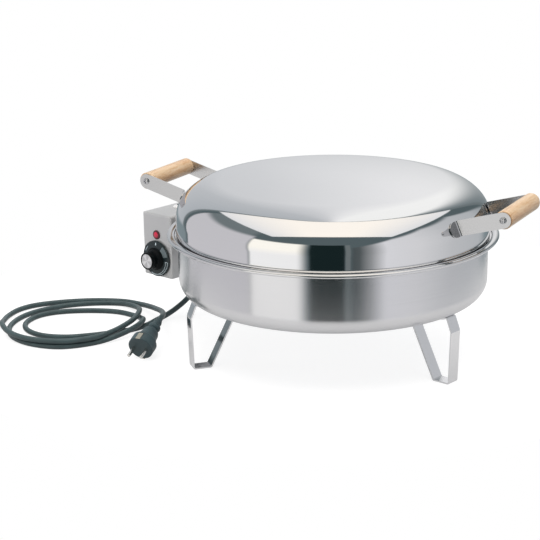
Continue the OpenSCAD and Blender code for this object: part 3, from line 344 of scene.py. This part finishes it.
LOOKS = {
    "left_handle_straps": STRAP, "right_handle_straps": STRAP, "left_handle_bar": BEECH,
    "right_handle_bar": BEECH, "handle_screws": ZINC, "right_leg": LEG, "front_leg": LEG,
    "back_leg": LEG, "leg_screws": ZINC, "leg_nuts": ZINC, "neck_housing": SATIN,
    "neck_rivets": ZINC, "box_cover": SATIN, "box_base": SATIN, "box_screws": ZINC,
    "thermostat_body": CREAM, "thermostat_nut": ZINC, "thermostat_shaft": ZINC, "knob": DEEP,
    "knob_skirt": BLACK, "knob_insert": SPUN_ALU, "lamp_bezel": BEZEL, "lamp_lens": LENS,
    "lamp_body": CREAM, "safety_cutout": HEATPROOF, "reset_bezel": CHROME,
    "reset_button": HEATPROOF, "terminal_block": CREAM, "heating_element": TUBE,
    "element_pins": ZINC, "element_glands": BRASS, "element_brackets": ZINC,
    "element_clips": ZINC, "reflector_dish": DISH, "grate_seats": DISH, "grill_grate": WIRE,
    "strain_relief": RUBBER, "plug_body": RUBBER, "plug_pins": PIN, "plug_earth_clips": CLIP,
    "pan_shell": PAN, "lid_shell": LID, "mains_cord": CORD, "thermostat_bulb": ZINC,
}


for node_name, node_obj in nodes.items():
    node_obj.data.materials.clear()
    node_obj.data.materials.append(LOOKS[node_name])

# ---------- meshes ----------

SMOOTH_UP_TO = math.radians(32)


def mesh_object(name, verts, faces, material):
    """An object in one material, made from its corners and faces."""
    mesh = bpy.data.meshes.new(name)
    mesh.from_pydata(verts, [], faces)
    obj = bpy.data.objects.new(name, mesh)
    scene.collection.objects.link(obj)
    obj.data.materials.append(material)
    return obj


def shade_smooth(mesh):
    """Smooth faces, with sharp corners kept."""
    mesh.polygons.foreach_set("use_smooth", [True] * len(mesh.polygons))
    mesh.set_sharp_from_angle(angle=SMOOTH_UP_TO)


# ---------- mains cord ----------

CORD_ROUTE = [
    (-277, 13, 54), (-277, 12.5, 44), (-278, 7, 36), (-279.5, -3, 28.5), (-281.5, -15, 20.5),
    (-284, -32, 12.3), (-285.5, -50, 6.8), (-285, -70, 4.4), (-279, -97, 4.2), (-280, -125, 4.2),
    (-292, -155, 4.2), (-308, -185, 4.2), (-330, -213, 4.2), (-362, -230, 4.2),
    (-398, -228, 4.2), (-426, -208, 4.2), (-439, -174, 4.2), (-430, -140, 4.2),
    (-400, -106, 4.2), (-362, -82, 4.2), (-324, -79, 4.6), (-303, -86, 7), (-282, -102, 13),
    (-268, -126, 13.5), (-267, -160, 9), (-277, -200, 4.5), (-302, -245, 4.2),
    (-345, -265, 4.2), (-390, -262, 4.2), (-428, -238, 4.2), (-452, -200, 4.2),
    (-458, -160, 4.2), (-447, -114, 4.2), (-423, -77, 4.2), (-387, -50, 4.6), (-346, -56, 9),
    (-313, -80, 15.5), (-292, -112, 14.5), (-280, -149, 13.5), (-276, -175, 13),
    (-277, -203, 12.5), (-294, -237, 12.2), (-319, -257, 12.2), (-356, -269, 12.2),
    (-395, -266, 12.5), (-430, -250, 13), (-456, -226, 7), (-476, -200, 4.4),
    (-487, -170, 4.2), (-484, -138, 4.2),
    (-462, -100, 4.5), (-430, -64, 4.5), (-392, -40, 4.8), (-352, -40, 8), (-318.6, -52.2, 14),
    (-290.2, -66.9, 20), (-257.7, -87.5, 28), (-226, -114, 36), (-200, -148, 40),
]
PLUG_TURN, PLUG_DIP = math.radians(-71), math.radians(20.5)
PLUG_DIR = Vector((math.cos(PLUG_TURN) * math.cos(PLUG_DIP),
                   math.sin(PLUG_TURN) * math.cos(PLUG_DIP), -math.sin(PLUG_DIP)))
CORD_RADIUS = 0.004
STEPS_PER_POINT = 8


def smooth_route(points, first, last, steps):
    """Catmull-Rom curve through the points; first and last only steer its two ends."""
    pts = [first] + points + [last]
    out = []
    for i in range(1, len(pts) - 2):
        a, b, c, d = pts[i - 1:i + 3]
        for k in range(steps):
            t = k / steps
            out.append((2 * b + (c - a) * t + (2 * a - 5 * b + 4 * c - d) * t ** 2
                        + (3 * b - a - 3 * c + d) * t ** 3) / 2)
    out.append(points[-1])
    return out


route = [mm(*p) for p in CORD_ROUTE]
line = smooth_route(route, route[1] + mm(0, 0, 26), route[-2] + PLUG_DIR * 0.07, STEPS_PER_POINT)
cord_data = bpy.data.curves.new("mains_cord_tube", "CURVE")
cord_data.dimensions = "3D"
cord_data.bevel_depth = CORD_RADIUS
cord_data.bevel_resolution = 6
cord_data.use_fill_caps = True
spline = cord_data.splines.new("POLY")
spline.points.add(len(line) - 1)
for point, place in zip(spline.points, line):
    point.co = (*place, 1)
spline.use_smooth = True
cord = bpy.data.objects.new("cord_tube", cord_data)
scene.collection.objects.link(cord)
cord.data.materials.append(CORD)
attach(cord, "base")
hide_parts("mains_cord")

# ---------- turned shells ----------


def arc(centre, half_w, half_h, start, end, n):
    """Points of an elliptical arc from one angle to another, in degrees."""
    return [(centre[0] + half_w * math.cos(math.radians(start + (end - start) * i / n)),
             centre[1] + half_h * math.sin(math.radians(start + (end - start) * i / n)))
            for i in range(n + 1)]


def revolve(name, profile, steps, material, body, replaced):
    """Smooth shell turned about Z from a closed outline of (radius, height) in millimetres."""
    verts, faces, rings = [], [], []
    for r, z in profile:
        if r < 1e-6:
            rings.append([len(verts)] * steps)
            verts.append((0, 0, z / 1000))
        else:
            rings.append(list(range(len(verts), len(verts) + steps)))
            for k in range(steps):
                a = 2 * math.pi * k / steps
                verts.append((r / 1000 * math.cos(a), r / 1000 * math.sin(a), z / 1000))
    for a, b in zip(rings, rings[1:] + rings[:1]):
        if a[0] == a[1] and b[0] == b[1]:
            continue
        for k in range(steps):
            j = (k + 1) % steps
            # A ring on the axis is one point, so its quads become triangles
            faces.append(list(dict.fromkeys((a[k], a[j], b[j], b[k]))))
    obj = mesh_object(name, verts, faces, material)
    obj.data.validate()
    shade_smooth(obj.data)
    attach(obj, body)
    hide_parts(replaced)
    return obj


SHEET = 1.0
LID_R, LID_LOW, SKIRT_TOP = 217.6, 175.7, 198.7
SHOULDER_W, SHOULDER_H, CROWN_H = 65.2, 51.6, 4.8
SHOULDER_SWEEP, CROWN_STEPS = 86, 30
HEM_H, EDGE, SKIRT_PLAIN = 4.0, 0.3, 8
TURN_STEPS = 288


def lid_curve(off):
    """Elliptical shoulder and low crown, moved inwards by off."""
    edge = arc((LID_R - SHOULDER_W, SKIRT_TOP), SHOULDER_W - off, SHOULDER_H - off,
               0, SHOULDER_SWEEP, 90)
    r0, z0 = edge[-1]
    crown_r = (r0 * r0 + CROWN_H * CROWN_H) / (2 * CROWN_H)
    crown = []
    for i in range(1, CROWN_STEPS + 1):
        r = r0 * (1 - i / CROWN_STEPS)
        crown.append((r, z0 + CROWN_H - crown_r + math.sqrt(crown_r * crown_r - r * r)))
    return edge + crown


hem_r = LID_R - 2 * SHEET
lid_profile = ([(LID_R, LID_LOW + EDGE), (LID_R, SKIRT_TOP - SKIRT_PLAIN)]
               + lid_curve(0) + lid_curve(SHEET)[::-1]
               + [(LID_R - SHEET, LID_LOW + HEM_H + EDGE), (LID_R - SHEET - EDGE, LID_LOW + HEM_H),
                  (hem_r, LID_LOW + HEM_H - EDGE), (hem_r, LID_LOW + EDGE),
                  (hem_r + EDGE, LID_LOW), (LID_R - EDGE, LID_LOW)])
revolve("lid_dome", lid_profile, TURN_STEPS, LID, "lid", "lid_shell")

PAN_R, PAN_LIFT, PAN_BEND = 215.4, 90.25, 25.7
BEND_STEPS, FLOOR_RING_IN = 24, 30
SHELF_Z, SHELF_INNER_EDGE, SHELF_OUTER_EDGE = 175.4, 0.6, 1
RIM_R, RIM_Z, RIM_HALF_W, RIM_HALF_H = 224.75, 176.2, 5.25, 3.2
# The rolled rim as angles: where its outside starts, where it turns back, where its inside ends
RIM_FROM, RIM_TURN, RIM_TO, RIM_STEPS = 195, -115, 200, 48
bend = (PAN_R - PAN_BEND, PAN_LIFT + PAN_BEND)
rim_inner_w, rim_inner_h = RIM_HALF_W - SHEET, RIM_HALF_H - SHEET
rim_close_r = RIM_R - rim_inner_w * math.cos(math.radians(RIM_TO - 180))
pan_profile = ([(0, PAN_LIFT + SHEET), (bend[0] - FLOOR_RING_IN, PAN_LIFT + SHEET)]
               + arc(bend, PAN_BEND - SHEET, PAN_BEND - SHEET, -90, 0, BEND_STEPS)
               + [(PAN_R - SHEET, SHELF_Z - SHELF_INNER_EDGE),
                  (PAN_R - SHEET + SHELF_INNER_EDGE, SHELF_Z)]
               + arc((RIM_R, RIM_Z), RIM_HALF_W, RIM_HALF_H, RIM_FROM, RIM_TURN, RIM_STEPS)
               + arc((RIM_R, RIM_Z), rim_inner_w, rim_inner_h, RIM_TURN, RIM_TO, RIM_STEPS)
               + [(rim_close_r, SHELF_Z - SHEET), (PAN_R + SHELF_OUTER_EDGE, SHELF_Z - SHEET),
                  (PAN_R, SHELF_Z - SHEET - SHELF_OUTER_EDGE)]
               + arc(bend, PAN_BEND, PAN_BEND, 0, -90, BEND_STEPS)
               + [(bend[0] - FLOOR_RING_IN, PAN_LIFT), (0, PAN_LIFT)])
pan = revolve("pan_bowl", pan_profile, TURN_STEPS, PAN, "base", "pan_shell")
pan.data.materials.append(RIM)
for face in pan.data.polygons:
    if face.center.xy.length * 1000 > PAN_R + SHELF_INNER_EDGE:
        face.material_index = 1

# ---------- strap legs ----------

LEG_W, LEG_T, LEG_BEND = 20.0, 2.0, 3.5
LEG_START_IN, FOOT_IN_IN, FOOT_OUT_IN, KNEE_IN, LEG_TOP_IN = 78.9, 33.8, 7.2, 4.9, 13.0
KNEE_Z, KNEE_BEND = 73.6, 10
LEG_TOP_RADII = (PAN_R - LEG_TOP_IN, 199, 195, 190)
SKIN = 0.08


def under_pan(r):
    """Height of the pan's underside at radius r, less a hair."""
    return bend[1] - math.sqrt(PAN_BEND ** 2 - max(r - bend[0], 0) ** 2) - SKIN


def inset(points, d):
    """Clockwise outline moved inwards by d with mitred corners."""
    out = []
    for i, p in enumerate(points):
        a, c = points[i - 1], points[(i + 1) % len(points)]
        d1 = Vector((p[0] - a[0], p[1] - a[1])).normalized()
        d2 = Vector((c[0] - p[0], c[1] - p[1])).normalized()
        n1, n2 = Vector((-d1.y, d1.x)), Vector((-d2.y, d2.x))
        m = (n1 + n2).normalized()
        out.append(Vector(p) + m * (d / m.dot(n1)))
    return out


def round_corners(points, radius, n=6):
    """Outline with each corner that has a radius replaced by a quadratic curve."""
    out = []
    for i, p in enumerate(points):
        if not radius[i]:
            out.append(Vector(p))
            continue
        p = Vector(p)
        d1 = (Vector(points[i - 1]) - p).normalized()
        d2 = (Vector(points[(i + 1) % len(points)]) - p).normalized()
        half = d1.angle(d2) / 2
        t = radius[i] / math.tan(half)
        a, b = p + d1 * t, p + d2 * t
        out += [a * (1 - k / n) ** 2 + p * 2 * (k / n) * (1 - k / n) + b * (k / n) ** 2
                for k in range(n + 1)]
    return out


# From under the pan's floor down to the foot, up past the knee and back along the pan's bend
leg_line = [(PAN_R - LEG_START_IN, PAN_LIFT - SKIN), (PAN_R - FOOT_IN_IN, 0),
            (PAN_R - FOOT_OUT_IN, 0), (PAN_R - KNEE_IN, KNEE_Z)]
leg_line += [(r, under_pan(r)) for r in LEG_TOP_RADII]
leg_round = [LEG_BEND, LEG_BEND, LEG_BEND, KNEE_BEND, LEG_BEND, 0, 0, 0]
outer_line = round_corners(leg_line, leg_round)
inner_line = round_corners(inset(leg_line, LEG_T), [max(r - LEG_T, 0) for r in leg_round])
for leg_name, leg_turn in (("right_leg", 0), ("back_leg", 120), ("front_leg", 240)):
    count = len(outer_line)
    verts = [(p.x / 1000, side * LEG_W / 2000, p.y / 1000)
             for side in (-1, 1) for ring in (outer_line, inner_line) for p in ring]
    faces = []
    for i in range(count):
        j = (i + 1) % count
        faces += [(i, j, 2 * count + j, 2 * count + i),
                  (count + i, 3 * count + i, 3 * count + j, count + j),
                  (i, count + i, count + j, j),
                  (2 * count + i, 2 * count + j, 3 * count + j, 3 * count + i)]
    strap = mesh_object(leg_name + "_strap", verts, faces, LEG)
    strap.data.transform(Matrix.Rotation(math.radians(leg_turn), 4, "Z"))
    fix = bmesh.new()
    fix.from_mesh(strap.data)
    bmesh.ops.recalc_face_normals(fix, faces=fix.faces)
    fix.to_mesh(strap.data)
    fix.free()
    shade_smooth(strap.data)
    edge = strap.modifiers.new("edge", "BEVEL")
    edge.width = 0.00025
    edge.segments = 2
    edge.limit_method = "ANGLE"
    edge.angle_limit = math.radians(50)
    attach(strap, "base")
    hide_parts(leg_name)

# ---------- dial marks ----------

DIAL = Vector(DIAL_AT)
# Radius and distance from the box of the plate's inner and outer edge
SKIRT_FLAT = (17.0, 4.6)
SKIRT_RIM = (26.0, 3.4)


def on_skirt(r, angle, lift=0.06):
    """A point on the dial plate's face, angle clockwise from the top as seen from the front."""
    t = (r - SKIRT_FLAT[0]) / (SKIRT_RIM[0] - SKIRT_FLAT[0])
    out = SKIRT_FLAT[1] + t * (SKIRT_RIM[1] - SKIRT_FLAT[1]) + lift
    a = math.radians(angle)
    return DIAL + mm(r * math.sin(a), -out, r * math.cos(a))


def band(name, edges, material):
    """Thin printed band between two rows of (radius, angle) points."""
    verts, faces = [], []
    for low, high in edges:
        verts += [on_skirt(*low), on_skirt(*high)]
    for i in range(len(edges) - 1):
        faces.append((2 * i, 2 * i + 1, 2 * i + 3, 2 * i + 2))
    obj = mesh_object(name, verts, faces, material)
    thick = obj.modifiers.new("thick", "SOLIDIFY")
    thick.thickness = 0.00005
    thick.offset = 0
    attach(obj, "knob")


def sector(r0, r1, a0, a1, n=16):
    """Rows for a band between two radii and two angles."""
    return [((r0, a0 + (a1 - a0) * i / n), (r1, a0 + (a1 - a0) * i / n)) for i in range(n + 1)]


# Radii between which the crescent lies, how much it tapers, its line's width, and its angles
MARK_IN, MARK_OUT, MARK_TAPER, LINE_W = 20.6, 25.3, 3.4, 0.75
CRESCENT_FROM, CRESCENT_SWEEP = 96, 108
END_FROM, END_TO = 94.2, 96.2

band("mark_top", sector(MARK_IN, 24.4, 0.0, 5.5, 4), MARK)
band("mark_short_line", sector(22.4, 23.2, -66, -44, 8), MARK)
band("mark_sector", sector(17.2, 25.2, 36, 76), MARK_GREY)


def crescent(n=40):
    """Outer and inner line of a tapering band round the plate's lower right."""
    outer_rows, inner_rows = [], []
    for i in range(n + 1):
        a = CRESCENT_FROM + CRESCENT_SWEEP * (i / n)
        inner_r = MARK_IN + MARK_TAPER * (i / n)
        outer_rows.append(((MARK_OUT - LINE_W, a), (MARK_OUT, a)))
        inner_rows.append(((inner_r, a), (inner_r + LINE_W, a)))
    return outer_rows, inner_rows


outer_row, inner_row = crescent()
band("mark_crescent_outer", outer_row, MARK)
band("mark_crescent_inner", inner_row, MARK)
band("mark_crescent_end", [((MARK_IN, a), (MARK_OUT, a)) for a in (END_FROM, END_TO)], MARK)

# ---------- floor ----------

FLOOR_R, FLOOR_N = 0.56, 96
FLOOR_X, FLOOR_Y = -0.13, 0.10
FLOOR_SEEN, FLOOR_MIRRORED = 0.82, 0.38


def floor_material():
    """Pale grey that keeps the shadow, lifted to white for the camera, part-way in mirrors."""
    mat = bpy.data.materials.new("floor_white")
    mat.use_nodes = True
    f = Nodes(mat.node_tree)
    f.t.nodes.clear()
    out = f.node("ShaderNodeOutputMaterial")
    diffuse = f.node("ShaderNodeBsdfDiffuse", i_Color=(0.30, 0.30, 0.305, 1))
    glow = f.node("ShaderNodeEmission")
    both = f.node("ShaderNodeAddShader")
    path = f.node("ShaderNodeLightPath")
    seen = f.math("MAXIMUM", path.outputs["Is Camera Ray"], path.outputs["Is Transmission Ray"])
    strength = f.math("MULTIPLY_ADD", path.outputs["Is Glossy Ray"], FLOOR_MIRRORED,
                      f.math("MULTIPLY", seen, FLOOR_SEEN))
    f.link(strength, glow.inputs["Strength"])
    f.link(diffuse.outputs[0], both.inputs[0])
    f.link(glow.outputs[0], both.inputs[1])
    f.link(both.outputs[0], out.inputs["Surface"])
    return mat


floor_edge = [(FLOOR_X + FLOOR_R * math.cos(2 * math.pi * k / FLOOR_N),
               FLOOR_Y + FLOOR_R * math.sin(2 * math.pi * k / FLOOR_N), 0) for k in range(FLOOR_N)]
floor = mesh_object("floor", floor_edge, [tuple(range(FLOOR_N))], floor_material())

# ---------- world ----------

# The studio that the metal mirrors, drawn by direction: az and el are the azimuth and elevation
# in degrees, and ahead and aside are places on a level plane one unit overhead.
SOFTBOX_AZ = math.radians(-52)
DARK = (0.095, 0.125, 0.135)
RIGHT_WALL_TOP = 55
BACK_RIGHT, BACK_LEFT, BACK_TOP_AHEAD = 75, 173, -0.165
DEGREES_IN_RADIAN = 57.3

world = bpy.data.worlds.new("studio")
scene.world = world
world.use_nodes = True
W = Nodes(world.node_tree)
W.t.nodes.clear()
w_out = W.node("ShaderNodeOutputWorld")
direction = W.node("ShaderNodeTexCoord").outputs["Generated"]
sep = W.node("ShaderNodeSeparateXYZ")
W.link(direction, sep.inputs[0])
dx, dy, dz = sep.outputs
az = W.math("DEGREES", W.math("ARCTAN2", dy, dx))
el = W.math("DEGREES", W.math("ARCSINE", dz))
height = W.math("MAXIMUM", dz, 0.001)
ahead = W.math("DIVIDE", W.blend((dx, math.cos(SOFTBOX_AZ)), (dy, math.sin(SOFTBOX_AZ))), height)
aside = W.math("DIVIDE", W.blend((dx, -math.sin(SOFTBOX_AZ)), (dy, math.cos(SOFTBOX_AZ))), height)


def window(value, lo, hi, soft_lo, soft_hi):
    """1 between lo and hi, and 0 outside, with a soft edge at each."""
    rising = W.span(value, 0, 1, lo - soft_lo, lo + soft_lo, True)
    falling = W.span(value, 1, 0, hi - soft_hi, hi + soft_hi, True)
    return W.math("MULTIPLY", rising, falling)


def card(below, colour, mask):
    """Lays a colour over what is below it, where the mask is 1."""
    n = W.node("ShaderNodeMix", data_type="RGBA")
    n.clamp_factor = True
    W.link(mask, n.inputs["Factor"])
    for socket, value in (("A", below), ("B", colour)):
        W.feed(n.inputs[socket], value if hasattr(value, "is_output") else (*value, 1))
    return n.outputs["Result"]


def patch(below, colour, az_window, el_window):
    """A card between two azimuths and two elevations, each window as (lo, hi, soft_lo, soft_hi)."""
    return card(below, colour, W.math("MULTIPLY", window(az, *az_window), window(el, *el_window)))


def across(value, lo, hi, stops):
    """A ramp of colours from lo to hi degrees."""
    return W.ramp(W.span(value, 0, 1, lo, hi), stops)


# Left wall: lavender grey up to about 32 degrees, then a dark band up to 60
sky = patch(DARK, (0.17, 0.20, 0.21), (-181, -116, 0.5, 6), (20, 60, 3, 3))
sky = card(sky, (0.60, 0.59, 0.62), W.span(el, 1, 0, 28, 36, True))
sky = patch(sky, DARK, (-113, 180, 2, 2), (-90, 90, 1, 1))

# Bright window, black opening, its lighter frame and the right-hand wall
window_tone = across(el, -18, 4, [(0.0, (0.94, 0.94, 0.95)), (1.0, (1.12, 1.08, 0.99))])
sky = patch(sky, window_tone, (-112, -72, 1.5, 5), (-90, 26, 1, 2))
sky = patch(sky, (0.009, 0.018, 0.019), (-67, -42, 1.5, 1), (-90, 26, 1, 0.7))
sky = patch(sky, (0.16, 0.185, 0.19), (-41.5, -38, 0.5, 0.5), (-90, 26, 1, 1))
right_tone = across(az, -40, 100, [
    (0.0, (0.06, 0.075, 0.08)), (0.06, (0.09, 0.105, 0.11)), (0.12, (0.30, 0.31, 0.32)),
    (0.20, (0.74, 0.74, 0.77)), (0.38, (0.70, 0.70, 0.72)), (0.60, (0.55, 0.56, 0.58)),
    (0.85, (0.48, 0.50, 0.52)), (1.0, (0.25, 0.29, 0.31))])
# The right-hand wall's upper edge, as a share of RIGHT_WALL_TOP degrees
right_top = across(az, -38, 98, [(0.0, (0.30,) * 3), (0.25, (0.62,) * 3), (0.5, (0.78,) * 3),
                                 (0.78, (0.72,) * 3), (1.0, (0.10,) * 3)])
under_top = W.math("SUBTRACT", W.math("MULTIPLY", right_top, RIGHT_WALL_TOP), el)
under_top = W.span(under_top, 0, 1, -2, 4, True)
sky = card(sky, right_tone, W.math("MULTIPLY", window(az, -37, 97, 2, 3), under_top))

# Softbox overhead
box_mask = W.math("MULTIPLY", window(ahead, -0.98, 0.757, 0.03, 0.015),
                  window(aside, -0.90, 0.93, 0.02, 0.02))
box_mask = W.math("MULTIPLY", box_mask, W.span(dz, 0, 1, 0.05, 0.1))
box_tone = W.ramp(W.math("ABSOLUTE", aside),
                  [(0.25, (1.13, 1.06, 0.97)), (0.85, (0.86, 0.86, 0.87))])
sky = card(sky, box_tone, box_mask)

# Backdrop behind the grill with a dark rim: past_side, past_top and inside are degrees inside its
# right-hand side, its upper edge and its whole outline
lean = W.math("MULTIPLY", W.math("MAXIMUM", W.math("SUBTRACT", 70, el), 0), 0.40)
back_side = W.math("ADD", BACK_RIGHT, lean)
reach = W.math("MAXIMUM", W.math("SQRT", W.blend((ahead, ahead), (aside, aside))), 0.01)
past_top = W.math("DIVIDE", W.math("SUBTRACT", BACK_TOP_AHEAD, ahead), reach)
past_top = W.math("MULTIPLY", past_top, DEGREES_IN_RADIAN)
past_top = W.math("ADD", past_top, W.span(dz, 90, 0, 0.0, 0.01))
past_side = W.math("SUBTRACT", az, back_side)
between_sides = W.math("SMOOTH_MIN", past_side, W.math("SUBTRACT", BACK_LEFT, az), 6)
inside = W.math("SMOOTH_MIN", between_sides, past_top, 55)


def behind(margin, soft):
    """Mask of the backdrop's outline, grown by a margin."""
    return W.span(inside, 0, 1, -soft - margin, soft - margin, True)


back_tone = across(az, 84, 172, [
    (0.0, (1.0, 1.0, 0.99)), (0.38, (1.0, 1.0, 0.99)), (0.47, (0.88, 0.88, 0.89)),
    (0.56, (0.68, 0.69, 0.71)), (0.70, (0.54, 0.56, 0.585)), (1.0, (0.46, 0.49, 0.52))])
sky = card(sky, (0.16, 0.19, 0.20), behind(3.0, 1.0))
# The backdrop's right-hand side fades in, over more degrees lower down
fade = W.math("MAXIMUM", W.math("MULTIPLY", W.math("SUBTRACT", 64, el), 0.62), 0.5)
faded_in = W.span(W.math("DIVIDE", past_side, fade), 0, 1, smooth=True)
back_tone = card((0.20, 0.235, 0.25), back_tone, faded_in)
sky = card(sky, back_tone, behind(0.0, 1.2))
# Low grey card under the backdrop
low = W.math("MULTIPLY", window(az, 90, 176, 6, 4), W.span(el, 1, 0, -10, -4, True))
sky = card(sky, (0.22, 0.27, 0.29), low)

# The camera, straight on or through a clear piece, sees plain white
w_path = W.node("ShaderNodeLightPath")
camera_or_clear = W.math("MAXIMUM", w_path.outputs["Is Camera Ray"],
                         w_path.outputs["Is Transmission Ray"])
white = card(sky, (1.0, 1.0, 1.0), camera_or_clear)
w_back = W.node("ShaderNodeBackground")
W.link(white, w_back.inputs["Color"])
boost = W.math("ADD", 1.0, W.math("MULTIPLY", w_path.outputs["Is Diffuse Ray"], 0.35))
W.link(boost, w_back.inputs["Strength"])
W.link(w_back.outputs[0], w_out.inputs["Surface"])

# ---------- lamps ----------


def lamp(name, place, aim, size, power, colour=(1, 1, 1)):
    """Rectangular lamp that no metal mirrors."""
    data = bpy.data.lights.new(name, "AREA")
    data.shape = "RECTANGLE"
    data.size, data.size_y = size
    data.energy = power
    data.color = colour
    obj = bpy.data.objects.new(name, data)
    scene.collection.objects.link(obj)
    obj.location = place
    obj.rotation_euler = (Vector(aim) - Vector(place)).to_track_quat("-Z", "Y").to_euler()
    obj.visible_glossy = False


lamp("key", (0.4, -0.5, 1.7), (0, 0, 0.1), (1.6, 1.2), 18, (1.0, 0.98, 0.95))
lamp("fill_left", (-1.6, -1.2, 0.9), (-0.2, 0, 0.1), (1.0, 1.0), 4)

scene.view_settings.view_transform = "Standard"
